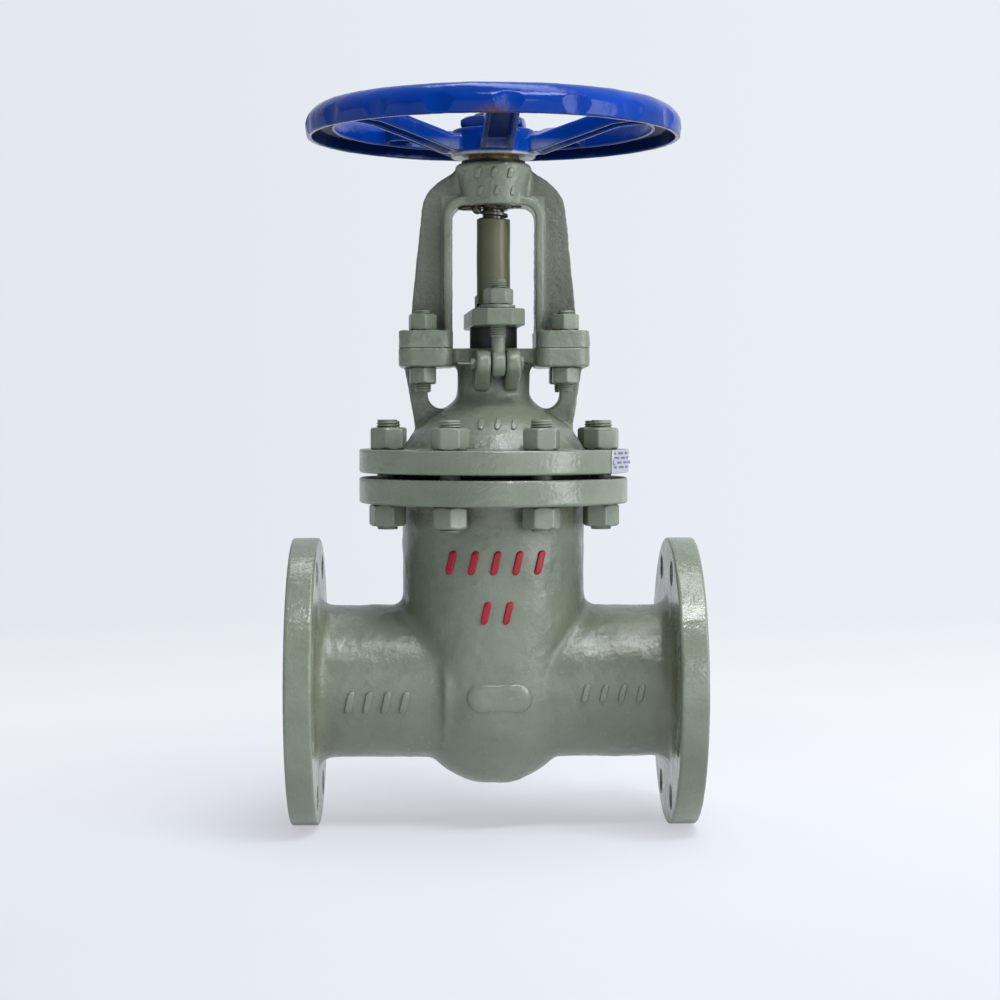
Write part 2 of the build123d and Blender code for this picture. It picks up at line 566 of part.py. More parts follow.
def rim_section():
    """Face of half the rim: a channel open downwards, with a rounded crown."""
    foot, shoulder, inner_top, inner_foot = (138.8, 405.5), (140.0, 413.3), (118.0, 421.5), (117.4, 411.3)
    under_foot, under_low, under_high = (121.0, 411.3), (122.0, 420.0), (135.6, 412.5)
    under_end = (135.2, 405.5)
    return make_face([
        Plane.XZ * Line(foot, shoulder),
        Plane.XZ * Spline(shoulder, (135.0, 424.2), (126.0, 428.2), inner_top),
        Plane.XZ * Polyline(inner_top, inner_foot, under_foot, under_low),
        Plane.XZ * Spline(under_low, (127.0, 424.0), (133.0, 420.2), under_high),
        Plane.XZ * Polyline(under_high, under_end, foot),
    ])


def spoke():
    """Channel-section arm, open downwards, that climbs from the hub to the rim."""
    low = SPOKE_LINE
    high = [(r, z + SPOKE_H) for r, z in reversed(low)]
    bar = plate_xz(low + high, SPOKE_HALF_W)
    top_heights = [(z0 + z1) / 2 for (_, z0), (_, z1) in zip(high, high[1:])]
    top_edges = [
        e for e in bar.edges()
        if abs(abs(e.center().Y) - SPOKE_HALF_W) < 0.01 and WHEEL_HUB_R - 2 < e.center().X < low[-1][0] - 1
        and any(abs(e.center().Z - z) < 0.01 for z in top_heights)
    ]
    bar = rounded(bar, top_edges, 3.5)
    hollow = [(r, z - 3) for r, z in low] + [(r, z - SPOKE_WALL) for r, z in high]
    channel = plate_xz([(max(r, HOLLOW_R), z) for r, z in hollow], SPOKE_HALF_W - SPOKE_WALL)
    return bar - channel


def rim():
    """Rim with shallow grips scooped out of its outer wall."""
    made = revolve(rim_section(), Axis.Z)
    scoop = cyl(GRIP_R, *RIM_Z, WHEEL_D / 2 - GRIP_DEPTH + GRIP_R)
    for i in range(GRIPS):
        made = made - Rot(0, 0, FIRST_GRIP + 360 / GRIPS * i) * scoop
    return made


def handwheel():
    hub = cyl(WHEEL_HUB_R, *WHEEL_HUB_Z)
    hub = rounded(hub, hub.edges().filter_by(GeomType.CIRCLE).sort_by(Axis.Z)[-1:], 2.5)    # top edge only
    arm = spoke()
    wheel = rim() + hub
    for i in range(SPOKES):
        wheel = wheel + Rot(0, 0, FIRST_SPOKE + 360 / SPOKES * i) * arm
    wheel = wheel - cyl(SPIGOT_D / 2 + 0.03, HUB_Z[1], RIM_Z[1])
    return (wheel - key_slot(SPIGOT_D / 4, SPIGOT_D / 2 + 3.0)).solid()


def stem():
    """T-head, backseat collar, plain shank and a left-hand trapezoidal thread."""
    r, top = STEM_D / 2, STEM_THREAD_Z[1]
    root_r, neck_r, collar_r = r - THREAD_DEPTH, STEM_NECK_D / 2, COLLAR_D / 2
    head_top = STEM_HEAD_Z + STEM_HEAD_H
    core = spin([
        (0, head_top), (neck_r, head_top), (neck_r, COLLAR_Z[0]), (collar_r, COLLAR_Z[0]),
        (collar_r, COLLAR_Z[1]), (r, COLLAR_Z[1] + collar_r - r), (r, STEM_THREAD_Z[0] - 2),
        (root_r, STEM_THREAD_Z[0]), (root_r, top - 1.2), (root_r - 1.2, top), (0, top),
    ])
    head = block((-STEM_HEAD_X, STEM_HEAD_X), (-STEM_HEAD_Y, STEM_HEAD_Y), (STEM_HEAD_Z, head_top))
    crest_w = THREAD_PITCH * CREST_SHARE
    root_w = crest_w + 2 * (THREAD_DEPTH + 0.2) * tan(radians(THREAD_FLANK))
    ridge = thread_ridge(root_r - 0.2, r, root_w, crest_w, *STEM_THREAD_Z)
    envelope = cyl(r + 0.1, STEM_THREAD_Z[0] - 1, top - 2.0)
    return (core + head + (ridge & envelope)).solid()


def thread_guard():
    """Thin sleeve over the stem's thread, standing on the gland, with a torn gap near its lower end."""
    sleeve = Rot(0, 0, GUARD_SEAM_TURN) * tube(*GUARD_R, GLAND_TOP_Z + SNUG, GUARD_TOP_Z)
    tear_z = (GLAND_TOP_Z + 3.7, GLAND_TOP_Z + 7.7)
    return (sleeve - block((-15, -9), (-8, 3), tear_z)).solid()


# ---------------------------------------------------------------- gate
def gate():
    """Flexible wedge: two leaning faces, a T-slot for the stem and grooves for the body's guides."""
    disc = bar_x(GATE_R, -2 * GATE_HALF_T, 2 * GATE_HALF_T) & wedge_block(GATE_HALF_T, BOWL_DEPTH)
    half_x, half_y, top = GATE_BOSS_X, GATE_BOSS_Y, GATE_BOSS_Z
    wedge = disc + block((-half_x, half_x), (-half_y, half_y), (40, top))
    flex_x = (-FLEX_SLOT_HALF_X, FLEX_SLOT_HALF_X)
    flex = bar_x(GATE_R + 2, *flex_x) - bar_x(FLEX_CORE_R, *flex_x)
    flex = flex - block(flex_x, (-half_y - 2, half_y + 2), (0, FAR))
    neck_half = STEM_NECK_D / 2 + 1
    head_z = (STEM_HEAD_Z - SNUG, STEM_HEAD_Z + STEM_HEAD_H + 1)
    slot = block((-FAR, FAR), (-STEM_HEAD_Y - 1, STEM_HEAD_Y + 1), head_z)
    slot = slot + block((-FAR, FAR), (-neck_half, neck_half), (head_z[0], FAR))
    groove_x = (-GUIDE_W / 2 - SLOT_PLAY, GUIDE_W / 2 + SLOT_PLAY)
    tip = GUIDE_TIP_Y - 0.6
    groove = [block(groove_x, sorted((side * tip, side * FAR)), (-FAR, FAR)) for side in (-1, 1)]
    return (wedge - flex - slot - groove).solid()


# ---------------------------------------------------------------- plate and fasteners
def nameplate():
    """Thin plate wrapped round the bonnet flange's rim."""
    r = JOINT_FLANGE_D / 2
    ring = tube(r + 0.9, r + 0.05, BONNET_FLANGE_Z[0] + 0.4, BONNET_FLANGE_Z[1] - 0.2)
    span = make_face(Polyline((0, 0), *around(1.5 * r, PLATE_ANGLES), close=True))
    plate = ring & Pos(0, 0, BONNET_FLANGE_Z[0]) * extrude(span, 2 * PLATE_T)
    return (plate - rivet_bars(RIVET_R + RUN, -6, 3)).solid()


def rivet_bars(radius, r0, r1):
    """Two cylinders that point away from the flange's rim, between two distances from it."""
    r, z = JOINT_FLANGE_D / 2, sum(BONNET_FLANGE_Z) / 2
    return [Rot(0, 0, a) * bar_x(radius, r + r0, r + r1, 0, z) for a in RIVET_ANGLES]


def rivets():
    shanks, heads = rivet_bars(RIVET_R, 0.06, 1.0), rivet_bars(RIVET_HEAD_R, 0.95, 2.1)
    return group([shank + head for shank, head in zip(shanks, heads)])


def joint_studs():
    return group([stud(STUD_D, *STUD_Z, x, y) for x, y in around(JOINT_PCD / 2, joint_angles())])


def joint_nuts(z0, turns):
    places = around(JOINT_PCD / 2, joint_angles())
    return group([
        hex_nut(STUD_NUT_S, STUD_D / 2 + NUT_BORE_GAP, z0, z0 + STUD_NUT_H, x, y, turns[i % len(turns)])
        for i, (x, y) in enumerate(places)
    ])


def yoke_studs():
    return group([stud(YOKE_STUD_D, *YOKE_STUD_Z, x, y) for x, y in yoke_bolt_places()])


def yoke_nuts(z0):
    return group([
        hex_nut(YOKE_NUT_S, YOKE_STUD_D / 2 + NUT_BORE_GAP, z0, z0 + YOKE_NUT_H, x, y, 10.0 + 17.0 * i)
        for i, (x, y) in enumerate(yoke_bolt_places())
    ])


PARTS = {
    "body": body,
    "seat_ring_left": lambda: seat_ring(-1),
    "seat_ring_right": lambda: seat_ring(1),
    "gate": gate,
    "stem": stem,
    "bonnet_gasket": gasket,
    "bonnet": bonnet,
    "bonnet_studs": joint_studs,
    "bonnet_nuts_upper": lambda: joint_nuts(BONNET_FLANGE_Z[1], (8.0, 27.0, 44.0, 15.0)),
    "bonnet_nuts_lower": lambda: joint_nuts(BODY_FLANGE_Z[0] - STUD_NUT_H, (22.0, 3.0, 36.0, 12.0)),
    "backseat_bush": backseat_bush,
    "packing_rings": packing_rings,
    "gland_follower": gland_follower,
    "gland_flange": lambda: turned(gland_flange()),
    "eye_bolt_front": lambda: turned(eye_bolt(-1)),
    "eye_bolt_rear": lambda: turned(eye_bolt(1)),
    "eye_pin_front": lambda: turned(eye_pin(-1)),
    "eye_pin_rear": lambda: turned(eye_pin(1)),
    "split_pins": lambda: group([turned(split_pin(-1)), turned(split_pin(1))]),
    "gland_washer_front": lambda: turned(gland_washer(-1)),
    "gland_washer_rear": lambda: turned(gland_washer(1)),
    "gland_nut_front": lambda: turned(gland_nut(-1)),
    "gland_nut_rear": lambda: turned(gland_nut(1)),
    "yoke": yoke,
    "yoke_studs": yoke_studs,
    "yoke_nuts_upper": lambda: yoke_nuts(NECK_TOP_Z + FOOT_T),
    "yoke_nuts_lower": lambda: yoke_nuts(NECK_TOP_Z - PLATE_T - YOKE_NUT_H),
    "stem_nut": stem_nut,
    "thrust_washer_lower": lambda: thrust_washer(BEARING_Z[0], NUT_BARREL_R + 0.1),
    "thrust_washer_upper": lambda: thrust_washer(BEARING_Z[2], NUT_NECK_R + 0.15),
    "retaining_ring": retaining_ring,
    "handwheel": handwheel,
    "wheel_key": wheel_key,
    "lock_nut": lock_nut,
    "thread_guard": thread_guard,
    "nameplate": nameplate,
    "nameplate_rivets": rivets,
}

if __name__ == "__main__":
    os.makedirs("parts", exist_ok=True)
    for name, make in PARTS.items():
        made = make()
        if isinstance(made, ShapeList):
            made = Compound(children=list(made))
        export_step(made, f"parts/{name}.step")
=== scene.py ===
"""Looks for a flanged gate valve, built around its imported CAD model.

Everything is in metres in the CAD's frame: the origin is where the pipe axis meets the stem axis, +X runs along
the pipe, +Z up the stem, and -Y faces the camera.
"""

import json
from math import atan, cos, pi, radians, sin, tau

import bmesh
import bpy
import numpy as np
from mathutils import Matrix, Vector
from mathutils.bvhtree import BVHTree


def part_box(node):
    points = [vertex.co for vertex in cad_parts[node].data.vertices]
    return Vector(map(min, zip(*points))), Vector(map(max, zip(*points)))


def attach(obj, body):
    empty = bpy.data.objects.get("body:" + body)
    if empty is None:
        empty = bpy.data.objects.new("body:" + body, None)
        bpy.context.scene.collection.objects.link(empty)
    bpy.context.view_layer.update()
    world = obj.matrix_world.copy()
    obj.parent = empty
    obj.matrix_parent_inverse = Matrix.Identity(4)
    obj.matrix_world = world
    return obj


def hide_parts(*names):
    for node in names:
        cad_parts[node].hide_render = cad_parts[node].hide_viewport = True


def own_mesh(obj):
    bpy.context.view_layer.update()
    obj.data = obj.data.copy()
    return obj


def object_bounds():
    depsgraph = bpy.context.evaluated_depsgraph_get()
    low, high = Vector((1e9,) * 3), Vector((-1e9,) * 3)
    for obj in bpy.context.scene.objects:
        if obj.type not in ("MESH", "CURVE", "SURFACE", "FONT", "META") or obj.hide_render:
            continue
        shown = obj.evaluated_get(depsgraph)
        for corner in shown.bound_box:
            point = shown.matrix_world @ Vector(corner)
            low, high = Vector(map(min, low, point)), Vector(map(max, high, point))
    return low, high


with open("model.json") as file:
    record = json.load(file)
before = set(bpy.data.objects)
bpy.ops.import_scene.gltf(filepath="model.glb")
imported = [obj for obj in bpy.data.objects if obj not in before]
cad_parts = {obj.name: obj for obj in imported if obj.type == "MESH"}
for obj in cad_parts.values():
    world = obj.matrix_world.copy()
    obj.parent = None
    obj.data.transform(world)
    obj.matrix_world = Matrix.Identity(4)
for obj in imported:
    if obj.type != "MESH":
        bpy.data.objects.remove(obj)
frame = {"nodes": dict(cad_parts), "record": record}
CAD_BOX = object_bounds()
NODES = frame["nodes"]

MM = 0.001
ROOT, WHEEL, STEM, GLAND = "valve_body", "handwheel_group", "stem_group", "gland_group"
FRONT_NUT, REAR_NUT = "gland_nut_front_group", "gland_nut_rear_group"
COARSE = 1.0

# ---------------------------------------------------------------- sizes read from the frame or shared with the CAD
JOINT_ANGLES = [radians(45 * i + 22.5) for i in range(8)]
JOINT_PCD, JOINT_NUT_S, JOINT_NUT_H = 170 * MM, 24 * MM, 16 * MM
YOKE_BOLTS = [(sx * 52.7 * MM, sy * 24.5 * MM) for sx in (-1, 1) for sy in (-1, 1)]
YOKE_NUT_S, YOKE_NUT_H = 19 * MM, 12 * MM
EYE_Z = 237.2 * MM


def middle(node):
    """x and y of a node's centre."""
    low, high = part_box(node)
    return (low.x + high.x) / 2, (low.y + high.y) / 2


# ---------------------------------------------------------------- mesh helpers
def add_object(name, mesh):
    obj = bpy.data.objects.new(name, mesh)
    bpy.context.scene.collection.objects.link(obj)
    return obj


def make_mesh(name, parts):
    """Mesh from a list of (points, faces) pairs."""
    points, faces, start = [], [], 0
    for part_points, part_faces in parts:
        points.extend(map(tuple, part_points))
        faces.extend([tuple(i + start for i in face) for face in part_faces])
        start += len(part_points)
    mesh = bpy.data.meshes.new(name)
    mesh.from_pydata(points, [], faces)
    mesh.polygons.foreach_set("use_smooth", [True] * len(faces))
    mesh.update()
    return mesh


def piece(name, parts, body, material, nodes=()):
    """New visible piece that rides on a body and may stand for CAD nodes."""
    mesh = parts if isinstance(parts, bpy.types.Mesh) else make_mesh(name, parts)
    obj = add_object(name, mesh)
    obj.data.materials.clear()
    obj.data.materials.append(material)
    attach(obj, body)
    if nodes:
        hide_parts(*nodes)
    return obj


def tube_faces(rings, count, closed=False):
    """Quads between rings of count points; closed joins the last ring to the first."""
    faces = []
    last = rings if closed else rings - 1
    for i in range(last):
        a, b = i * count, (i + 1) % rings * count
        for j in range(count):
            k = (j + 1) % count
            faces.append((a + j, a + k, b + k, b + j))
    return faces


def rings_solid(rings):
    """Closed solid through a list of equal rings of points, capped at both ends."""
    count = len(rings[0])
    points = np.concatenate([np.asarray(r, float) for r in rings])
    faces = tube_faces(len(rings), count)
    low, high = len(points), len(points) + 1
    points = np.vstack([points, np.mean(rings[0], axis=0), np.mean(rings[-1], axis=0)])
    top = (len(rings) - 1) * count
    faces += [(low, (j + 1) % count, j) for j in range(count)]
    faces += [(high, top + j, top + (j + 1) % count) for j in range(count)]
    return points, faces


def lathe(profile, segments=96, centre=(0, 0)):
    """Closed solid of revolution about an upright axis, from a closed (r, z) profile."""
    angles = np.linspace(0, tau, segments, endpoint=False)
    rings = [np.stack([centre[0] + r * np.cos(angles), centre[1] + r * np.sin(angles), np.full(segments, z)], axis=1)
             for r, z in profile]
    return np.concatenate(rings), tube_faces(len(rings), segments, closed=True)


def round_corners(profile, radius, steps=4):
    """Closed profile with each corner replaced by a short arc-like curve."""
    out = []
    count = len(profile)
    for i, corner in enumerate(profile):
        before, after = np.array(profile[i - 1]), np.array(profile[(i + 1) % count])
        corner = np.array(corner)
        to_before, to_after = before - corner, after - corner
        reach = min(radius, np.linalg.norm(to_before) * 0.45, np.linalg.norm(to_after) * 0.45)
        start = corner + to_before / np.linalg.norm(to_before) * reach
        end = corner + to_after / np.linalg.norm(to_after) * reach
        for t in np.linspace(0, 1, steps):
            out.append(tuple((1 - t) ** 2 * start + 2 * t * (1 - t) * corner + t ** 2 * end))
    return out


def blend_min(a, b, soft):
    """Smaller of a and b, with the crease between them rounded over a length soft."""
    h = np.clip(0.5 + 0.5 * (b - a) / soft, 0, 1)
    return b * (1 - h) + a * h - soft * h * (1 - h)


def hex_nut(across, height, bore_r, z0, x=0.0, y=0.0, turn=0.0, segments=96):
    """Nut with softened corners and a 30 degree chamfer at both ends, as (points, faces)."""
    angles = np.linspace(0, tau, segments, endpoint=False)
    half = across / 2
    flats = sum(np.maximum(np.cos(angles - k * pi / 3), 0) ** 90 for k in range(6))
    outline = half / flats ** (1 / 90)
    face_r = half * 0.95
    steps = np.array([0, 0.02, 0.05, 0.09, 0.14, 0.2, 0.3, 0.5, 0.7, 0.8, 0.86, 0.91, 0.95, 0.98, 1.0]) * height
    rings = [(np.full(segments, bore_r), 0.06 * height), (np.full(segments, bore_r + 0.0006), 0.0)]
    rings.append((np.full(segments, face_r * 0.97), 0.0))
    for h in steps:
        end_gap = min(h, height - h)
        rings.append((blend_min(outline, np.full(segments, face_r + 1.73 * end_gap), 0.0005), h))
    rings.append((np.full(segments, face_r * 0.97), height))
    rings.append((np.full(segments, bore_r + 0.0006), height))
    rings.append((np.full(segments, bore_r), 0.94 * height))
    turned = angles + radians(turn)
    points = [np.stack([x + r * np.cos(turned), y + r * np.sin(turned), np.full(segments, z0 + h)], axis=1)
              for r, h in rings]
    return np.concatenate(points), tube_faces(len(points), segments, closed=True)


def threaded_rod(radius, pitch, z0, z1, x=0.0, y=0.0, bare=(), segments=40, phase=0.0):
    """Right-hand threaded rod with soft painted crests; bare lists (low, high) stretches with no thread."""
    depth, per_turn = pitch * 0.42, 8
    heights = np.arange(z0, z1, pitch / per_turn)
    heights = np.append(heights, z1)
    angles = np.linspace(0, tau, segments, endpoint=False)
    rings = []
    for z in heights:
        wave = ((z / pitch - angles / tau + phase) % 1.0)
        ridge = np.clip(1.6 - 3.2 * np.abs(wave - 0.5) * 1.25, 0, 1)
        end = np.clip(min(z - z0, z1 - z) / (1.1 * pitch), 0, 1)
        r = radius - depth * (1 - ridge)
        r = np.minimum(r, radius - depth * (1 - end))
        if any(low < z < high for low, high in bare):
            r = np.full(segments, radius - depth * 0.5)
        rings.append(np.stack([x + r * np.cos(angles), y + r * np.sin(angles), np.full(segments, z)], axis=1))
    return rings_solid(rings)


# ---------------------------------------------------------------- castings
def lumps(points, size, seed):
    """Smooth random field between -1 and 1, with features of the given size."""
    cells = 48
    lattice = np.random.default_rng(seed).uniform(-1, 1, (cells, cells, cells))
    at = points / size + 1000.0
    base = np.floor(at).astype(int)
    f = at - base
    f = f * f * (3 - 2 * f)
    total = np.zeros(len(points))
    for corner in np.ndindex(2, 2, 2):
        share = np.ones(len(points))
        for axis in range(3):
            share *= f[:, axis] if corner[axis] else 1 - f[:, axis]
        index = (base + corner) % cells
        total += share * lattice[index[:, 0], index[:, 1], index[:, 2]]
    return total


def vertex_array(mesh, source="vertices", key="co"):
    out = np.empty(len(mesh.vertices) * 3)
    getattr(mesh, source).foreach_get(key, out)
    return out.reshape(-1, 3)


def recast(node, voxel, soft, rounds, bumps, fields=None, fill=0.6, wear=0.2):
    """Mesh of a CAD casting with filled inside corners, worn outside ones and a lumpy skin; machined faces stay put.

    soft(points) gives 1 on cast skin and 0 on machined faces. bumps lists (height, feature size) pairs.
    fields maps the name of a stored attribute to a function of the points, for the paint to use.
    """
    merged = bmesh.new()
    merged.from_mesh(NODES[node].data)
    bmesh.ops.remove_doubles(merged, verts=merged.verts, dist=1e-6)
    raw = bpy.data.meshes.new(node + "_raw")
    merged.to_mesh(raw)
    surface = BVHTree.FromBMesh(merged)
    merged.free()
    carrier = add_object(node + "_carrier", raw)
    skin = carrier.modifiers.new("skin", "REMESH")
    skin.mode, skin.voxel_size = "VOXEL", voxel * COARSE
    graph = bpy.context.evaluated_depsgraph_get()
    mesh = bpy.data.meshes.new_from_object(carrier.evaluated_get(graph))
    bpy.data.objects.remove(carrier)

    points = vertex_array(mesh)
    cast = soft(points)
    edges = np.empty(len(mesh.edges) * 2, int)
    mesh.edges.foreach_get("vertices", edges)
    a, b = edges.reshape(-1, 2).T
    valence = np.bincount(np.concatenate([a, b]), minlength=len(points))[:, None]
    for i in range(rounds):
        normals = vertex_array(mesh, "vertex_normals", "vector")
        total = np.stack([
            np.bincount(a, points[b, k], len(points)) + np.bincount(b, points[a, k], len(points)) for k in range(3)
        ], axis=1)
        step = total / valence - points
        outward = np.sum(step * normals, axis=1)[:, None]
        along = step - outward * normals
        move = 0.5 * along + np.where(outward > 0, fill, wear) * outward * normals
        share = 1.0 if i < 3 else cast[:, None]
        points = points + move * share
        mesh.vertices.foreach_set("co", points.ravel())
        mesh.update()
    for i in np.flatnonzero(cast < 1):
        on_cad = np.array(surface.find_nearest(points[i])[0])
        points[i] = on_cad + (points[i] - on_cad) * cast[i]
    normals = vertex_array(mesh, "vertex_normals", "vector")
    for seed, (height, size) in enumerate(bumps):
        points = points + normals * (lumps(points, size, seed + 7) * height * cast)[:, None]
    mesh.vertices.foreach_set("co", points.ravel())
    for name, field in {"cast": soft, **(fields or {})}.items():
        mesh.attributes.new(name, "FLOAT", "POINT").data.foreach_set("value", field(points).astype(np.float32))
    mesh.polygons.foreach_set("use_smooth", [True] * len(mesh.polygons))
    mesh.update()
    return mesh


def ramp(values, low, high):
    """0 below low, 1 above high, straight in between."""
    return np.clip((values - low) / (high - low), 0, 1)


def body_skin(points):
    end_flange = 1 - ramp(np.abs(points[:, 0]), 0.1275, 0.1300)
    joint_flange = 1 - ramp(points[:, 2], 0.1315, 0.1340)
    return end_flange * joint_flange


def bonnet_skin(points):
    radius = np.hypot(points[:, 0], points[:, 1])
    above_flange = np.maximum(ramp(points[:, 2], 0.1755, 0.1775), 1 - ramp(radius, 0.0660, 0.0690))
    off_stuffing_box = ramp(radius, 0.0186, 0.0196)
    return above_flange * off_stuffing_box * (1 - ramp(points[:, 2], 0.2470, 0.2485))


def yoke_skin(points):
    return ramp(points[:, 2], 0.2498, 0.2520) * (1 - ramp(points[:, 2], 0.3845, 0.3855))


def wheel_skin(points):
    radius = np.hypot(points[:, 0], points[:, 1])
    return np.maximum(ramp(radius, 0.034, 0.037), ramp(points[:, 2], 0.3920, 0.3940))


def whole_skin(points):
    return np.ones(len(points))


def leg_webs(points):
    """1 on the yoke's sandy outer webs, 0 on its smooth inner band, hub and feet."""
    across, up = np.abs(points[:, 0]), points[:, 2]
    outside = np.maximum(ramp(across, 0.0380, 0.0388), ramp(up, 0.3622, 0.3630))
    off_hub = ramp(np.hypot(points[:, 0], points[:, 1]), 0.0285, 0.0310)
    return outside * off_hub * ramp(up, 0.2620, 0.2640)


def hub_overspray(points):
    """1 on the wheel's machined hub face, fading up the channels of the spokes."""
    radius, up = np.hypot(points[:, 0], points[:, 1]), points[:, 2]
    face = (1 - ramp(up, 0.3928, 0.3942)) * (1 - ramp(radius, 0.0330, 0.0350))
    near_hub = ramp(radius, 0.0330, 0.0350) * (1 - ramp(radius, 0.045, 0.062))
    channel = 0.35 * (1 - ramp(up, 0.3990, 0.4040)) * near_hub
    return np.maximum(face, channel)


def rim_channel(points):
    """1 on the shaded inside of the rim's channel, 0 on its outside and lips."""
    radius, up = np.hypot(points[:, 0], points[:, 1]), points[:, 2]
    across, above = (radius - 0.1285) / 0.0071, np.maximum(up - 0.4100, 0) / 0.0140
    return (1 - ramp(np.hypot(across, above), 1.08, 1.20)) * ramp(up, 0.4058, 0.4070)


def rim_rust(points):
    """1 in the middle of the rusty patch on the front of the rim's lower edge."""
    patch = np.exp(-((points[:, 0] + 0.002) / 0.011) ** 2 - ((points[:, 2] - 0.4075) / 0.0030) ** 2)
    return patch * (points[:, 1] < -0.12)


def joint_and_flange_shade(points):
    """1 on the neck just under the bonnet joint and on the backs of the end flanges, where an olive painted shade is
    laid.
    """
    radius = np.hypot(points[:, 0], points[:, 1])
    under = ramp(points[:, 2], 0.112, 0.132) * (1 - ramp(radius, 0.074, 0.078))
    barrel = np.hypot(points[:, 1], points[:, 2])
    backs = ramp(np.abs(points[:, 0]), 0.118, 0.1285) * (1 - ramp(barrel, 0.075, 0.095))
    return np.maximum(under, backs)


# ---------------------------------------------------------------- materials
class Graph:
    """Shader node tree of one material, with short calls to add and link nodes."""

    def __init__(self, name):
        self.material = bpy.data.materials.new(name)
        self.material.use_nodes = True
        self.tree = self.material.node_tree
        self.tree.nodes.clear()

    def add(self, kind, inputs=(), **settings):
        node = self.tree.nodes.new(kind)
        for key, value in settings.items():
            setattr(node, key, value)
        for key, value in dict(inputs).items():
            self.put(node.inputs[key], value)
        return node

    def put(self, socket, value):
        if isinstance(value, bpy.types.NodeSocket):
            self.tree.links.new(value, socket)
        else:
            socket.default_value = value

    def place(self):
        return self.add("ShaderNodeTexCoord").outputs["Object"]

    def noise(self, scale, detail=2.0, rough=0.5, distortion=0.0):
        node = self.add("ShaderNodeTexNoise", {
            "Vector": self.place(), "Scale": scale, "Detail": detail, "Roughness": rough, "Distortion": distortion})
        return node.outputs["Fac"]

    def math(self, operation, a, b=0.0):
        node = self.add("ShaderNodeMath", operation=operation)
        self.put(node.inputs[0], a)
        self.put(node.inputs[1], b)
        return node.outputs[0]

    def span(self, value, low, high, out_low=0.0, out_high=1.0):
        """value's range low to high stretched to out_low to out_high, clamped."""
        node = self.add("ShaderNodeMapRange", {
            "Value": value, "From Min": low, "From Max": high, "To Min": out_low, "To Max": out_high})
        return node.outputs["Result"]

    def mix(self, share, a, b):
        node = self.add("ShaderNodeMix", data_type="RGBA")
        self.put(node.inputs["Factor"], share)
        self.put(node.inputs[6], a)
        self.put(node.inputs[7], b)
        return node.outputs[2]

    def bump(self, height, distance, strength=1.0, normal=None):
        inputs = {"Height": height, "Distance": distance, "Strength": strength}
        if normal:
            inputs["Normal"] = normal
        return self.add("ShaderNodeBump", inputs).outputs["Normal"]

    def attribute(self, name):
        return self.add("ShaderNodeAttribute", attribute_name=name).outputs["Fac"]

    def edges(self):
        """Above 0.5 on outside edges, below it in hollows."""
        return self.add("ShaderNodeNewGeometry").outputs["Pointiness"]

    def hollow(self, reach):
        """1 in the open, falling towards 0 in tight hollows."""
        return self.add("ShaderNodeAmbientOcclusion", {"Distance": reach}, samples=6).outputs["AO"]

    def finish(self, **inputs):
        shader = self.add("ShaderNodeBsdfPrincipled", inputs)
        self.add("ShaderNodeOutputMaterial", {"Surface": shader.outputs[0]})
        return self.material


def rgb(red, green, blue):
    """Linear colour from 8-bit sRGB values."""
    channels = [c / 255 for c in (red, green, blue)]
    linear = [c / 12.92 if c <= 0.04045 else ((c + 0.055) / 1.055) ** 2.4 for c in channels]
    return (*linear, 1.0)


GREEN, GREEN_DEEP, GREEN_PALE = rgb(124, 135, 118), rgb(102, 110, 92), rgb(150, 160, 148)
# The first colour, a dark olive, is the default tone of painted shade: hollows, channels and faces that look down are
# darkened towards it.
SHADE_DARK, RUST, BARE = rgb(52, 52, 40), rgb(92, 58, 34), rgb(60, 58, 54)
STUDIO_WHITE = rgb(231, 236, 242)
SANDY_GREY, OLIVE = rgb(72, 74, 64), rgb(96, 92, 66)
BLUE, BLUE_DEEP, INK = rgb(0, 61, 160), rgb(0, 44, 122), rgb(60, 66, 92)
RED = rgb(168, 28, 48)


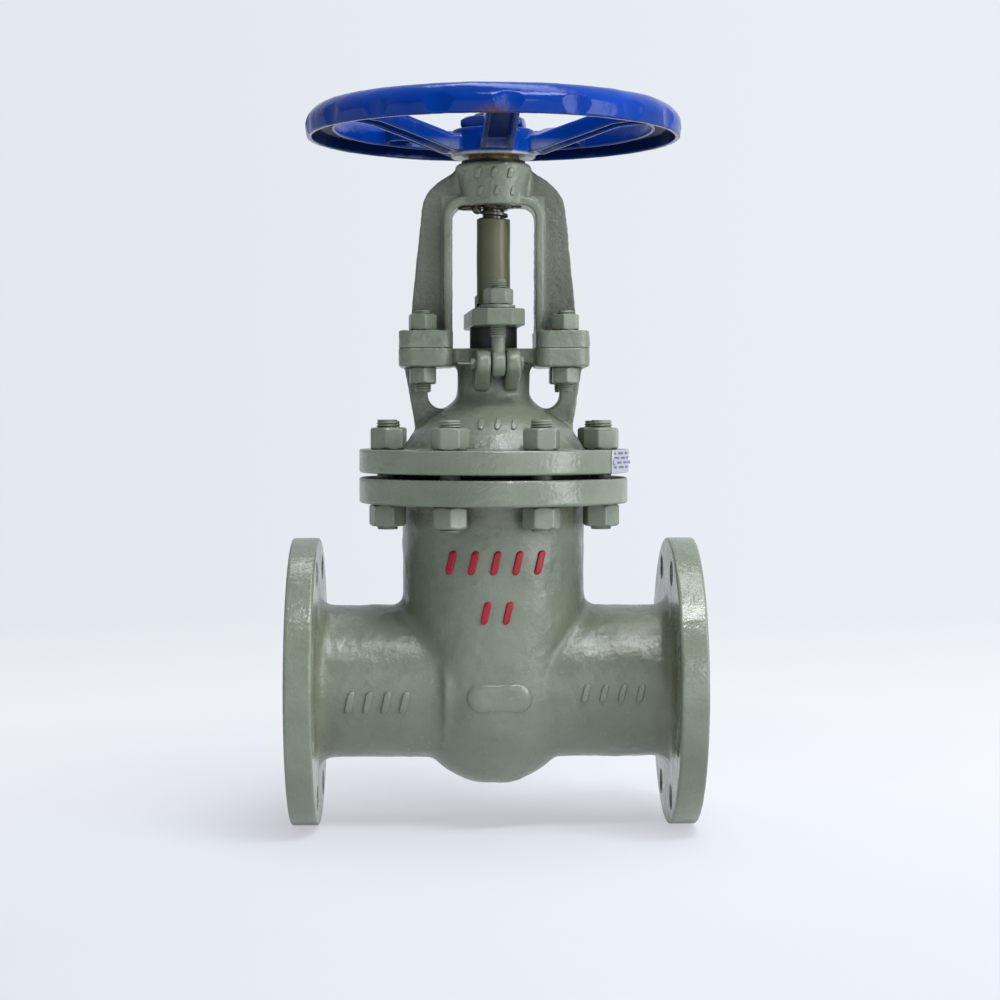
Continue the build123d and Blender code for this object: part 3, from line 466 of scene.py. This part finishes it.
def paint(name, colour, deep, gloss, peel, sand, chips, shade_colour=SHADE_DARK, shine=0.5, under=0.0):
    """Sprayed paint: peel and sand are bump heights in metres, chips the share of bare spots.

    under is how far faces that look down are darkened, as painted shade.
    """
    g = Graph(name)
    cast, sandy = g.attribute("cast"), g.attribute("sandy")
    broad = g.noise(14, 3, 0.55)
    fine = g.noise(320, 3, 0.6)
    tone = g.mix(g.span(broad, 0.35, 0.7), colour, deep)
    tone = g.mix(g.span(fine, 0.3, 0.8, 0.0, 0.3), tone, deep)
    # Painted shade: the rough cast skin is darkened towards the deep tone for the shade its roughness traps, so
    # machined faces stay lighter.
    tone = g.mix(g.math("MULTIPLY", cast, 0.35), tone, deep)
    speckle = g.span(g.noise(900, 5, 0.7), 0.42, 0.62)
    tone = g.mix(g.math("MULTIPLY", sandy, g.math("ADD", 0.45, g.math("MULTIPLY", speckle, 0.4))), tone, SANDY_GREY)
    thin = g.math("MULTIPLY", g.attribute("overspray"), g.span(g.noise(260, 4, 0.6), 0.25, 0.5, 0.6, 1.0))
    tone = g.mix(thin, tone, GREEN_PALE)
    # Painted shade: a patchy olive tint under the bonnet joint and behind the end flanges.
    tucked_shade_share = g.math("MULTIPLY", g.attribute("tucked_shade"), g.span(g.noise(40, 4, 0.6), 0.35, 0.65, 0.15, 0.7))
    tone = g.mix(tucked_shade_share, tone, OLIVE)
    # Painted shade: tight hollows and crevices, found by an occlusion node, are darkened towards the dark shade
    # colour.
    open_air = g.hollow(0.012)
    crevice_shade = g.math("MULTIPLY", g.span(open_air, 0.25, 0.85, 0.75, 0.0), g.span(broad, 0.25, 0.6, 0.6, 1.0))
    tone = g.mix(crevice_shade, tone, shade_colour)
    tone = g.mix(g.math("MULTIPLY", g.attribute("shaded"), 0.75), tone, shade_colour)
    # Painted shade: faces that look down are darkened towards the dark shade colour.
    facing = g.add("ShaderNodeSeparateXYZ", {0: g.add("ShaderNodeNewGeometry").outputs["Normal"]}).outputs["Z"]
    tone = g.mix(g.span(facing, -0.75, -0.15, under, 0.0), tone, shade_colour)
    # Painted highlight: outside edges are turned paler, for the bright lines that light draws along them.
    edge = g.span(g.edges(), 0.56, 0.66)
    tone = g.mix(g.math("MULTIPLY", edge, 0.4), tone, GREEN_PALE if colour is GREEN else colour)
    scatter = g.math("ADD", g.noise(170, 6, 0.7), g.math("MULTIPLY", edge, 0.10))
    worn = g.span(scatter, 0.90 - chips, 0.92 - chips)
    rusty = g.math("MULTIPLY", g.attribute("rust"), g.span(g.noise(420, 5, 0.7), 0.35, 0.5))
    chip = g.math("MAXIMUM", worn, rusty)
    tone = g.mix(chip, tone, g.mix(g.noise(500), RUST, BARE))
    rough = g.span(g.noise(60, 4, 0.6), 0.3, 0.7, gloss - 0.05, gloss + 0.09)
    dull = g.math("ADD", g.math("ADD", chip, crevice_shade), g.math("MULTIPLY", sandy, 0.5))
    rough = g.math("ADD", rough, g.math("MULTIPLY", dull, 0.25))
    waves = g.bump(g.noise(120, 2, 0.5), 2 * peel, 1.0)
    orange = g.bump(g.noise(430, 2, 0.5), peel, 1.0, waves)
    grit = g.math("ADD", cast, g.math("MULTIPLY", sandy, 2.0))
    grain = g.bump(g.math("MULTIPLY", g.noise(1500, 4, 0.7), grit), sand, 1.0, orange)
    pit = g.bump(g.math("SUBTRACT", 1.0, chip), 0.00015, 1.0, grain)
    return g.finish(**{"Base Color": tone, "Roughness": rough, "Normal": pit, "Specular IOR Level": shine})


def metal(name, colour, stain_and_shade, rough, scratch_scale=(60, 60, 900), grease=0.0):
    """Bare or oiled metal with fine lathe lines, stains, and painted shade in its hollows."""
    g = Graph(name)
    stretch = g.add("ShaderNodeMapping", {"Vector": g.place(), "Scale": scratch_scale}).outputs[0]
    lines = g.add("ShaderNodeTexNoise", {"Vector": stretch, "Scale": 1.0, "Detail": 3.0}).outputs["Fac"]
    blotch = g.noise(90, 5, 0.65)
    tone = g.mix(g.span(blotch, 0.4, 0.7), colour, stain_and_shade)
    worn = g.span(g.edges(), 0.52, 0.6, 0.0, 0.5)
    tone = g.mix(worn, tone, colour)
    # Painted shade: hollows are darkened towards the stain tone.
    dark = g.span(g.hollow(0.005), 0.2, 0.8, 0.8, 0.0)
    tone = g.mix(dark, tone, stain_and_shade)
    roughness = g.span(blotch, 0.3, 0.7, rough, rough + 0.2)
    normal = g.bump(lines, 0.00003, 1.0)
    coat = 0.8 if grease else 0.0
    return g.finish(**{"Base Color": tone, "Metallic": 1.0 - grease, "Roughness": roughness, "Normal": normal,
                       "Coat Weight": coat, "Coat Roughness": 0.15})


def plain_stuff(name, colour, other, rough, scale, height):
    """Non-metal with mottling and a grain of the given scale and height."""
    g = Graph(name)
    mottle = g.noise(scale, 5, 0.65)
    tone = g.mix(g.span(mottle, 0.3, 0.7), colour, other)
    edge = g.span(g.edges(), 0.52, 0.6, 0.0, 0.3)
    tone = g.mix(edge, tone, other)
    normal = g.bump(mottle, height, 1.0)
    return g.finish(**{"Base Color": tone, "Roughness": g.span(mottle, 0.3, 0.7, rough, rough + 0.15),
                       "Normal": normal})


def plate_metal():
    """Thin brushed aluminium with fine cross lines and a cloudy film."""
    g = Graph("plate_aluminium")
    stretch = g.add("ShaderNodeMapping", {"Vector": g.place(), "Scale": (150, 150, 2500)}).outputs[0]
    lines = g.add("ShaderNodeTexNoise", {"Vector": stretch, "Scale": 1.0, "Detail": 2.0}).outputs["Fac"]
    cloud = g.noise(120, 4, 0.6)
    tone = g.mix(cloud, rgb(176, 180, 190), rgb(205, 208, 214))
    return g.finish(**{"Base Color": tone, "Metallic": 0.75, "Roughness": g.span(lines, 0.3, 0.7, 0.32, 0.5),
                       "Normal": g.bump(lines, 0.00002, 1.0)})


CAST_PAINT = paint("cast_paint", GREEN, GREEN_DEEP, 0.21, 0.00022, 0.00014, 0.0, shine=0.62)
NUT_PAINT = paint("nut_paint", GREEN, GREEN_DEEP, 0.26, 0.00010, 0.0, 0.0, shine=0.6)
STUD_PAINT = paint("stud_paint", GREEN, GREEN_DEEP, 0.35, 0.00008, 0.0, 0.0)
# A colour passed after a paint's chips share is that paint's own dark colour for painted shade.
WHEEL_PAINT = paint("wheel_paint", BLUE, BLUE_DEEP, 0.07, 0.00008, 0.00004, 0.17, rgb(10, 20, 44), 0.20, 0.65)
LOCK_NUT_PAINT = paint("lock_nut_paint", BLUE, BLUE_DEEP, 0.16, 0.00010, 0.0, 0.17, rgb(10, 20, 44), 0.26)
RED_PAINT = paint("red_paint", RED, rgb(140, 24, 40), 0.36, 0.00010, 0.0, 0.0, rgb(80, 20, 26), 0.3)
GLAND_PAINT = paint("gland_paint", rgb(112, 122, 107), GREEN_DEEP, 0.30, 0.00010, 0.0, 0.0)
GUARD_PAINT = paint("guard_paint", rgb(76, 82, 72), rgb(92, 90, 58), 0.36, 0.00006, 0.0, 0.0)
FOLLOWER_PAINT = paint("follower_paint", rgb(60, 66, 60), rgb(46, 50, 44), 0.36, 0.00008, 0.0, 0.0)
DARK_STEEL = metal("dark_steel", rgb(52, 58, 54), rgb(30, 33, 30), 0.35)
STEM_STEEL = metal("stem_steel", rgb(86, 80, 60), rgb(38, 35, 26), 0.30, grease=0.6)
BRIGHT_STEEL = metal("bright_steel", rgb(150, 150, 150), rgb(110, 106, 100), 0.28)
BRONZE = metal("bronze", rgb(150, 120, 66), rgb(84, 66, 36), 0.3)
GRAPHITE = plain_stuff("graphite", rgb(34, 34, 36), rgb(52, 52, 55), 0.45, 700, 0.00012)
GASKET = plain_stuff("gasket_dark", rgb(16, 16, 15), rgb(30, 29, 27), 0.7, 500, 0.00010)
GREASE = plain_stuff("grease", rgb(40, 36, 27), rgb(66, 60, 48), 0.12, 300, 0.00015)
PLATE = plate_metal()
PLATE_INK = plain_stuff("plate_ink", INK, rgb(120, 124, 140), 0.4, 900, 0.00002)

SLOT_MATERIALS = {
    "cast_paint": CAST_PAINT, "stud_paint": STUD_PAINT, "nut_paint": NUT_PAINT, "wire_paint": STUD_PAINT,
    "gland_paint": GLAND_PAINT, "guard_paint": GUARD_PAINT, "dark_steel": DARK_STEEL, "stem_steel": STEM_STEEL,
    "machined_cast": BRIGHT_STEEL, "seat_steel": BRIGHT_STEEL, "graphite": GRAPHITE, "gasket_dark": GASKET,
    "bronze": BRONZE, "wheel_paint": WHEEL_PAINT, "lock_nut_paint": LOCK_NUT_PAINT, "key_steel": BRIGHT_STEEL,
    "plate_aluminium": PLATE,
}


def dress_frame():
    """Gives every carried-over CAD node the material of its slot."""
    for entry in frame["record"]["subparts"]:
        data = NODES[entry["node"]].data
        data.materials.clear()
        data.materials.append(SLOT_MATERIALS[entry["material_slot"]])


# ---------------------------------------------------------------- pieces
def castings():
    # The body also stores the mask of olive painted shade under the bonnet joint and behind the end flanges.
    skin = recast("body", 0.0013, body_skin, 12, [(0.00020, 0.0048), (0.00050, 0.015)], {"tucked_shade": joint_and_flange_shade})
    made = [piece("body_casting", skin, ROOT, CAST_PAINT, ["body"])]
    skin = recast("bonnet", 0.0009, bonnet_skin, 16, [(0.00020, 0.0036), (0.00042, 0.012)])
    made.append(piece("bonnet_casting", skin, ROOT, CAST_PAINT, ["bonnet"]))
    skin = recast("yoke", 0.0009, yoke_skin, 10, [(0.00020, 0.0022), (0.00030, 0.009)], {"sandy": leg_webs})
    made.append(piece("yoke_casting", skin, ROOT, CAST_PAINT, ["yoke"]))
    fields = {"overspray": hub_overspray, "rust": rim_rust, "shaded": rim_channel}
    skin = recast("handwheel", 0.0008, wheel_skin, 2, [(0.00010, 0.0050), (0.00020, 0.018)], fields)
    piece("handwheel_casting", skin, WHEEL, WHEEL_PAINT, ["handwheel"])
    skin = recast("gland_flange", 0.0006, whole_skin, 4, [(0.00006, 0.004)])
    piece("gland_flange_plate", skin, GLAND, GLAND_PAINT, ["gland_flange"])
    return made


def joint_fasteners():
    """Studs and nuts of the bonnet joint."""
    low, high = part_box("bonnet_studs")
    upper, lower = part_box("bonnet_nuts_upper")[0].z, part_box("bonnet_nuts_lower")[0].z
    rng = np.random.default_rng(21)
    studs, tops, bottoms = [], [], []
    for angle in JOINT_ANGLES:
        x, y = JOINT_PCD / 2 * cos(angle), JOINT_PCD / 2 * sin(angle)
        studs.append(threaded_rod(8.0 * MM, 2.0 * MM, low.z, high.z - rng.uniform(0, 1.5) * MM, x, y,
                                  bare=[(lower + 2 * MM, upper + JOINT_NUT_H - 2 * MM)], phase=rng.uniform()))
        tops.append(hex_nut(JOINT_NUT_S, JOINT_NUT_H, 7.4 * MM, upper, x, y, rng.uniform(0, 60)))
        bottoms.append(hex_nut(JOINT_NUT_S, JOINT_NUT_H, 7.4 * MM, lower, x, y, rng.uniform(0, 60)))
    piece("joint_studs", studs, ROOT, STUD_PAINT, ["bonnet_studs"])
    piece("joint_nuts_upper", tops, ROOT, NUT_PAINT, ["bonnet_nuts_upper"])
    piece("joint_nuts_lower", bottoms, ROOT, NUT_PAINT, ["bonnet_nuts_lower"])


def yoke_fasteners():
    low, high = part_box("yoke_studs")
    upper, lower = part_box("yoke_nuts_upper")[0].z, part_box("yoke_nuts_lower")[0].z
    rng = np.random.default_rng(22)
    studs, tops, bottoms = [], [], []
    for x, y in YOKE_BOLTS:
        studs.append(threaded_rod(6.0 * MM, 1.75 * MM, low.z, high.z, x, y,
                                  bare=[(lower + 2 * MM, upper + YOKE_NUT_H - 2 * MM)], phase=rng.uniform()))
        tops.append(hex_nut(YOKE_NUT_S, YOKE_NUT_H, 5.5 * MM, upper, x, y, rng.uniform(0, 60)))
        bottoms.append(hex_nut(YOKE_NUT_S, YOKE_NUT_H, 5.5 * MM, lower, x, y, rng.uniform(0, 60)))
    piece("foot_studs", studs, ROOT, STUD_PAINT, ["yoke_studs"])
    piece("foot_nuts_upper", tops, ROOT, NUT_PAINT, ["yoke_nuts_upper"])
    piece("foot_nuts_lower", bottoms, ROOT, NUT_PAINT, ["yoke_nuts_lower"])


def eye_ring(x, y, segments=64):
    """Ring of an eye bolt, turned about the pin's axis, as (points, faces)."""
    half, inner, outer = 5.0 * MM, 4.05 * MM, 9.2 * MM
    profile = round_corners([(inner, -half), (outer, -half), (outer, half), (inner, half)], 2.6 * MM)
    angles = np.linspace(0, tau, segments, endpoint=False)
    turn = atan(-x / y)
    rings = [np.stack([x + across * cos(turn) - r * np.cos(angles) * sin(turn),
                       y + across * sin(turn) + r * np.cos(angles) * cos(turn),
                       EYE_Z + r * np.sin(angles)], axis=1) for r, across in profile]
    return np.concatenate(rings), tube_faces(len(rings), segments, closed=True)


def eye_bolts():
    for name, nut_body in (("front", FRONT_NUT), ("rear", REAR_NUT)):
        x, y = middle("gland_nut_" + name)
        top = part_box("eye_bolt_" + name)[1].z
        thread_low, shank_low = top - 42.4 * MM, EYE_Z + 6.0 * MM
        core, shank_r, shank_top = 0.2 * MM, 5.0 * MM, thread_low + 1 * MM
        profile = [(core, shank_low), (shank_r, shank_low), (shank_r, shank_top), (core, shank_top)]
        shank = lathe(round_corners(profile, 0.5 * MM), 48, (x, y))
        rod = threaded_rod(6.0 * MM, 1.75 * MM, thread_low, top, x, y)
        piece("eye_" + name, [eye_ring(x, y), shank, rod], ROOT, STUD_PAINT, ["eye_bolt_" + name])
        node = "gland_nut_" + name
        parts = [hex_nut(YOKE_NUT_S, YOKE_NUT_H, 6.06 * MM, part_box(node)[0].z, x, y, 30.0)]
        piece(node + "_hex", parts, nut_body, NUT_PAINT, [node])


def lock_nut():
    low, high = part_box("lock_nut")
    parts = [hex_nut(46 * MM, high.z - low.z, 15.05 * MM, low.z, turn=51, segments=144)]
    piece("wheel_lock_nut", parts, WHEEL, LOCK_NUT_PAINT, ["lock_nut"])


def thread_guard():
    """Thin painted sleeve with a torn lower end and a slightly wavy upper one."""
    low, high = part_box("thread_guard")
    outer, inner = (high.x - low.x) / 2, (high.x - low.x) / 2 - 1.1 * MM
    segments, levels = 128, 60
    angles = np.linspace(0, tau, segments, endpoint=False)
    rng = np.random.default_rng(5)
    torn = sum(rng.uniform(0.2, 1.0) * np.sin(k * angles + rng.uniform(0, tau)) for k in (3, 5, 9, 14, 23)) * 0.5 * MM
    start = low.z + 2.2 * MM + torn + 3.4 * MM * np.exp(-((angles - radians(200)) / 0.5) ** 2)
    finish = high.z - 0.3 * MM + 0.15 * MM * np.sin(2 * angles)
    rings = []
    for radius, order in ((outer, np.linspace(0, 1, levels)), (inner, np.linspace(1, 0, levels))):
        for t in order:
            z = start + (finish - start) * t
            r = radius - 0.12 * MM + 0.12 * MM * np.sin(3 * angles + 9 * t) * np.sin(pi * t)
            rings.append(np.stack([r * np.cos(angles), r * np.sin(angles), z], axis=1))
    shape = np.concatenate(rings), tube_faces(len(rings), segments, closed=True)
    piece("guard_sleeve", [shape], GLAND, GUARD_PAINT, ["thread_guard"])


def follower():
    low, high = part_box("gland_follower")
    r_out, r_in = (high.x - low.x) / 2, 11.3 * MM
    profile = round_corners([(r_in, low.z), (r_out, low.z), (r_out, high.z), (r_in, high.z)], 0.6 * MM)
    piece("gland_sleeve", [lathe(profile)], GLAND, FOLLOWER_PAINT, ["gland_follower"])


def packing():
    """Stack of soft rings, which the gland squeezes as it is tightened on the real valve; here the stack keeps its
    shape.
    """
    low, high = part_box("packing_rings")
    count, r_in, r_out = 4, 11.1 * MM, (high.x - low.x) / 2 - 0.05 * MM
    height = (high.z - low.z) / count
    rings = []
    for i in range(count):
        z0, z1 = low.z + height * i, low.z + height * (i + 0.98)
        rings.append(lathe(round_corners([(r_in, z0), (r_out, z0), (r_out, z1), (r_in, z1)], 0.7 * MM)))
    stack = piece("packing_stack", rings, ROOT, GRAPHITE, ["packing_rings"])
    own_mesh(stack)


def washers():
    for name in ("gland_washer_front", "gland_washer_rear"):
        low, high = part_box(name)
        r_out = (high.x - low.x) / 2
        profile = round_corners([(6.4 * MM, low.z), (r_out, low.z), (r_out, high.z), (6.4 * MM, high.z)], 0.7 * MM)
        piece(name + "_disc", [lathe(profile, 72, middle(name))], GLAND, NUT_PAINT, [name])


# ---------------------------------------------------------------- raised marks
def surface_finder(objects):
    """Function that finds the first surface point and normal behind (x, z), seen from the front."""
    trees = []
    for obj in objects:
        mesh = obj.data
        triangles = [tuple(p.vertices) for p in mesh.polygons]
        trees.append(BVHTree.FromPolygons([v.co for v in mesh.vertices], triangles))

    def find(x, z):
        hits = [tree.ray_cast(Vector((x, -0.3, z)), Vector((0, 1, 0))) for tree in trees]
        hits = [h for h in hits if h[0] is not None]
        return min(hits, key=lambda h: h[0].y)[:2]

    return find


def raised_bar(find, x, z, width, height, rise, lean=0.0, turn=0.0):
    """Bar with round ends that stands out of a casting by rise, as (points, faces)."""
    corner = min(width, height) / 2 * 0.98
    outline = []
    for cx, cy, start in ((1, 1, 0), (-1, 1, 90), (-1, -1, 180), (1, -1, 270)):
        for step in range(7):
            a = radians(start + 15 * step)
            outline.append((cx * (width / 2 - corner) + corner * cos(a), cy * (height / 2 - corner) + corner * sin(a)))
    rings = []
    for share, lift in ((1.08, -0.0004), (1.0, rise * 0.35), (0.93, rise * 0.75), (0.80, rise * 0.97), (0.5, rise)):
        ring = []
        for u, v in outline:
            u, v = u * share, v * share
            u += lean * v
            u, v = u * cos(turn) - v * sin(turn), u * sin(turn) + v * cos(turn)
            point, normal = find(x + u, z + v)
            ring.append(tuple(point + normal * lift))
        rings.append(ring)
    return rings_solid(rings)


def bar_row(find, x_from, x_to, count, z, size, rise, lean=0.22):
    """Row of equal slanted bars between two x positions."""
    xs = np.linspace(x_from, x_to, count)
    return [raised_bar(find, x, z, size[0], size[1], rise, lean) for x in xs]


def marks(cast_objects):
    """Blank raised marks where the real casting carries its lettering."""
    find = surface_finder(cast_objects)
    size_rows = bar_row(find, -32 * MM, 32 * MM, 5, 93 * MM, (5.0 * MM, 17 * MM), 1.5 * MM)
    size_rows += bar_row(find, -7 * MM, 9 * MM, 2, 57 * MM, (5.0 * MM, 16 * MM), 1.5 * MM)
    piece("size_marks", size_rows, ROOT, RED_PAINT)
    plain = bar_row(find, -106 * MM, -66 * MM, 4, -9 * MM, (5.2 * MM, 16 * MM), 1.7 * MM)
    plain += bar_row(find, 66 * MM, 106 * MM, 4, -3 * MM, (4.8 * MM, 13 * MM), 1.5 * MM)
    plain += bar_row(find, -10 * MM, 14 * MM, 3, 193 * MM, (4.2 * MM, 8 * MM), 1.3 * MM)
    plain += bar_row(find, -12 * MM, 12 * MM, 3, 378 * MM, (4.0 * MM, 8 * MM), 1.2 * MM)
    plain += bar_row(find, -10 * MM, 14 * MM, 3, 365 * MM, (3.6 * MM, 7 * MM), 1.0 * MM)
    plain.append(raised_bar(find, 3 * MM, -5 * MM, 46 * MM, 20 * MM, 1.6 * MM))
    piece("cast_marks", plain, ROOT, CAST_PAINT)


# ---------------------------------------------------------------- nameplate and grease
def nameplate():
    """Thin wrapped plate with a pressed border and blank lines, on the bonnet flange's rim."""
    low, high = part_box("bonnet")
    radius = 100.5 * MM + 0.05 * MM
    z0, z1 = 157.4 * MM, 174.3 * MM
    a0, a1 = radians(-33), radians(1)
    across, up, thick = 180, 50, 0.75 * MM

    def printed(u, v):
        """Blank lines of different lengths, where the real plate is written on."""
        row = int(v * 5)
        inside = 0.05 < u < 0.95 and 0.10 < v < 0.90
        return inside and (v * 5) % 1.0 < 0.5 and 0.12 < (u * 4 + row * 0.37) % 1.0 < 0.88

    def height(u, v):
        edge = min(u * 59 * MM, (1 - u) * 59 * MM, v * 17 * MM, (1 - v) * 17 * MM)
        border = 0.15 * MM if 0.5 * MM < edge < 1.1 * MM else 0.0
        return thick + border

    front, back = [], []
    for j in range(up + 1):
        for i in range(across + 1):
            u, v = i / across, j / up
            angle, z = a0 + (a1 - a0) * u, z0 + (z1 - z0) * v
            for store, r in ((front, radius + height(u, v)), (back, radius)):
                store.append((r * cos(angle), r * sin(angle), z))
    wide = across + 1
    faces = []
    for j in range(up):
        for i in range(across):
            a = j * wide + i
            quad = (a, a + 1, a + wide + 1, a + wide)
            faces.append(quad)
            faces.append(tuple(k + len(front) for k in reversed(quad)))
    rim = [i for i in range(wide)] + [j * wide + across for j in range(1, up + 1)]
    rim += [up * wide + i for i in range(across - 1, -1, -1)] + [j * wide for j in range(up - 1, 0, -1)]
    for a, b in zip(rim, rim[1:] + rim[:1]):
        faces.append((a, a + len(front), b + len(front), b))
    plate = piece("maker_plate", [(front + back, faces)], ROOT, PLATE, ["nameplate"])
    plate.data.materials.append(PLATE_INK)
    for j in range(up):
        for i in range(across):
            if printed((i + 0.5) / across, (j + 0.5) / up):
                plate.data.polygons[2 * (j * across + i)].material_index = 1


def blob(centre, radii, seed, segments=28, rings=18):
    """Lumpy ellipsoid of grease, as (points, faces)."""
    grid = []
    for i in range(1, rings):
        polar = pi * i / rings
        grid.append([(sin(polar) * cos(tau * j / segments), sin(polar) * sin(tau * j / segments), -cos(polar))
                     for j in range(segments)])
    points = np.array(grid)
    flat = points.reshape(-1, 3)
    swell = 1 + 0.22 * lumps(flat, 0.7, seed) + 0.12 * lumps(flat, 0.3, seed + 1)
    shaped = (flat * swell[:, None] * np.array(radii) + np.array(centre)).reshape(points.shape)
    return rings_solid(list(shaped))


def grease():
    """Old grease squeezed out under the yoke's hub, round the stem."""
    hub_low = 355.5 * MM
    lumps_at = [
        ((-19 * MM, -6 * MM, hub_low - 1.5 * MM), (6.5 * MM, 5 * MM, 2.4 * MM)),
        ((-13 * MM, -10 * MM, hub_low - 3.0 * MM), (3.4 * MM, 3.0 * MM, 3.8 * MM)),
        ((-16 * MM, 2 * MM, hub_low - 1.0 * MM), (4.0 * MM, 5.0 * MM, 2.0 * MM)),
        ((16 * MM, -7 * MM, hub_low - 0.6 * MM), (5.0 * MM, 4.0 * MM, 1.6 * MM)),
        ((8 * MM, -14 * MM, hub_low - 0.4 * MM), (6.0 * MM, 2.6 * MM, 1.5 * MM)),
    ]
    parts = [blob(at, radii, 31 + i) for i, (at, radii) in enumerate(lumps_at)]
    piece("hub_grease", parts, ROOT, GREASE)


# ---------------------------------------------------------------- stage, light and camera
SEEN_STRENGTH = (-0.25, 0.25, 0.95, 1.03)   # sideways part of the view direction, and the brightness it gets


def emitter(name, size, place, power):
    """Softbox that faces the valve and is not seen by the camera."""
    target = (0, 0, 0.12)
    data = bpy.data.lights.new(name, "AREA")
    data.shape, data.size, data.size_y = "RECTANGLE", size[0], size[1]
    data.energy, data.color = power, (0.96, 0.96, 1.0)
    obj = bpy.data.objects.new(name, data)
    bpy.context.scene.collection.objects.link(obj)
    obj.location = place
    obj.rotation_mode = "QUATERNION"
    obj.rotation_quaternion = (Vector(target) - Vector(place)).to_track_quat("-Z", "Y")
    obj.visible_camera = False


def backdrop():
    """Pale world: what the camera sees is even, what lights the object is darker towards the camera."""
    world = bpy.data.worlds.new("studio")
    bpy.context.scene.world = world
    world.use_nodes = True
    tree = world.node_tree
    tree.nodes.clear()

    def add(kind):
        return tree.nodes.new(kind)

    def stretch(source, low, high, out_low, out_high):
        node = add("ShaderNodeMapRange")
        tree.links.new(source, node.inputs["Value"])
        for key, value in (("From Min", low), ("From Max", high), ("To Min", out_low), ("To Max", out_high)):
            node.inputs[key].default_value = value
        return node.outputs[0]

    split = add("ShaderNodeSeparateXYZ")
    tree.links.new(add("ShaderNodeTexCoord").outputs["Generated"], split.inputs[0])
    depth = stretch(split.outputs["Y"], -1.0, 0.7, 0.22, 0.74)
    side = stretch(split.outputs["X"], -0.6, 0.6, -0.20, 0.27)
    total = add("ShaderNodeMath")
    tree.links.new(depth, total.inputs[0])
    tree.links.new(side, total.inputs[1])
    lit = add("ShaderNodeBackground")
    lit.inputs["Color"].default_value = rgb(230, 236, 246)
    tree.links.new(total.outputs[0], lit.inputs["Strength"])
    seen = add("ShaderNodeBackground")
    seen.inputs["Color"].default_value = STUDIO_WHITE
    tree.links.new(stretch(split.outputs["X"], *SEEN_STRENGTH), seen.inputs["Strength"])
    join = add("ShaderNodeMixShader")
    tree.links.new(add("ShaderNodeLightPath").outputs["Is Camera Ray"], join.inputs[0])
    tree.links.new(lit.outputs[0], join.inputs[1])
    tree.links.new(seen.outputs[0], join.inputs[2])
    tree.links.new(join.outputs[0], add("ShaderNodeOutputWorld").inputs[0])


def floor():
    """Pale floor that takes the object's soft shadow and melts into the background further off; it glows by itself,
    with a painted pool of light just behind the valve.
    """
    z = CAD_BOX[0].z - 0.2 * MM
    reach, count = 40.0, 41
    steps = np.linspace(-reach, reach, count)
    points = [(x, y, z) for y in steps for x in steps]
    faces = [(j * count + i, j * count + i + 1, (j + 1) * count + i + 1, (j + 1) * count + i)
             for j in range(count - 1) for i in range(count - 1)]
    obj = add_object("studio_floor", make_mesh("studio_floor", [(points, faces)]))
    g = Graph("studio_floor")
    tone = g.mix(g.noise(2.0), rgb(206, 210, 217), rgb(210, 214, 220))
    lit = g.add("ShaderNodeBsdfDiffuse", {"Color": tone})
    away = g.add("ShaderNodeVectorMath", {0: g.place()}, operation="LENGTH").outputs["Value"]
    depth = g.add("ShaderNodeSeparateXYZ", {0: g.place()}).outputs["Y"]
    # Painted pool of light: the glow is lighter in a band just behind the valve than towards the camera.
    near_tone = g.mix(g.span(depth, -0.35, 0.15), STUDIO_WHITE, rgb(245, 247, 251))
    glow_tone = g.mix(g.span(depth, 0.25, 1.6), near_tone, STUDIO_WHITE)
    back = g.add("ShaderNodeSeparateXYZ", {0: g.add("ShaderNodeNewGeometry").outputs["Incoming"]}).outputs["X"]
    strength = g.span(g.math("MULTIPLY", back, -1.0), *SEEN_STRENGTH)
    glow = g.add("ShaderNodeEmission", {"Color": glow_tone, "Strength": strength})
    # The floor glows by itself, at half strength near the valve and at full strength further off, and this glow also
    # lights the valve from below.
    join = g.add("ShaderNodeMixShader", {0: g.span(away, 0.12, 0.75, 0.5, 1.0), 1: lit.outputs[0], 2: glow.outputs[0]})
    g.add("ShaderNodeOutputMaterial", {"Surface": join.outputs[0]})
    obj.data.materials.append(g.material)


def camera():
    yaw, pitch, focal_px, frame_px = 0.026, -0.0397, 2085.0, 1000.0
    data = bpy.data.cameras.new("view")
    data.sensor_width = 36.0
    data.lens = focal_px / frame_px * data.sensor_width
    data.clip_start, data.clip_end = 0.05, 50.0
    obj = bpy.data.objects.new("view", data)
    bpy.context.scene.collection.objects.link(obj)
    obj.location = (-35.8 * MM, -1565.6 * MM, 198.2 * MM)
    forward = Vector((sin(yaw) * cos(pitch), cos(yaw) * cos(pitch), sin(pitch)))
    obj.rotation_mode = "QUATERNION"
    obj.rotation_quaternion = forward.to_track_quat("-Z", "Y")
    bpy.context.scene.camera = obj


def studio():
    backdrop()
    floor()
    emitter("top_box", (1.2, 0.32), (0.45, -0.90, 1.75), 24)
    emitter("ceiling_box", (1.6, 0.5), (0.20, 0.15, 1.90), 14)
    emitter("front_box", (0.5, 0.5), (0.55, -1.90, 0.55), 3)
    emitter("right_box", (0.7, 1.4), (1.5, -0.9, 0.6), 16)
    emitter("left_box", (0.5, 1.2), (-1.6, -0.5, 0.7), 1)
    emitter("bounce_box", (1.2, 0.4), (0.20, -0.85, -0.09), 1.5)
    camera()
    bpy.context.scene.view_settings.view_transform = "Standard"


dress_frame()
cast_objects = castings()
joint_fasteners()
yoke_fasteners()
eye_bolts()
lock_nut()
thread_guard()
follower()
packing()
washers()
marks(cast_objects)
nameplate()
grease()
studio()
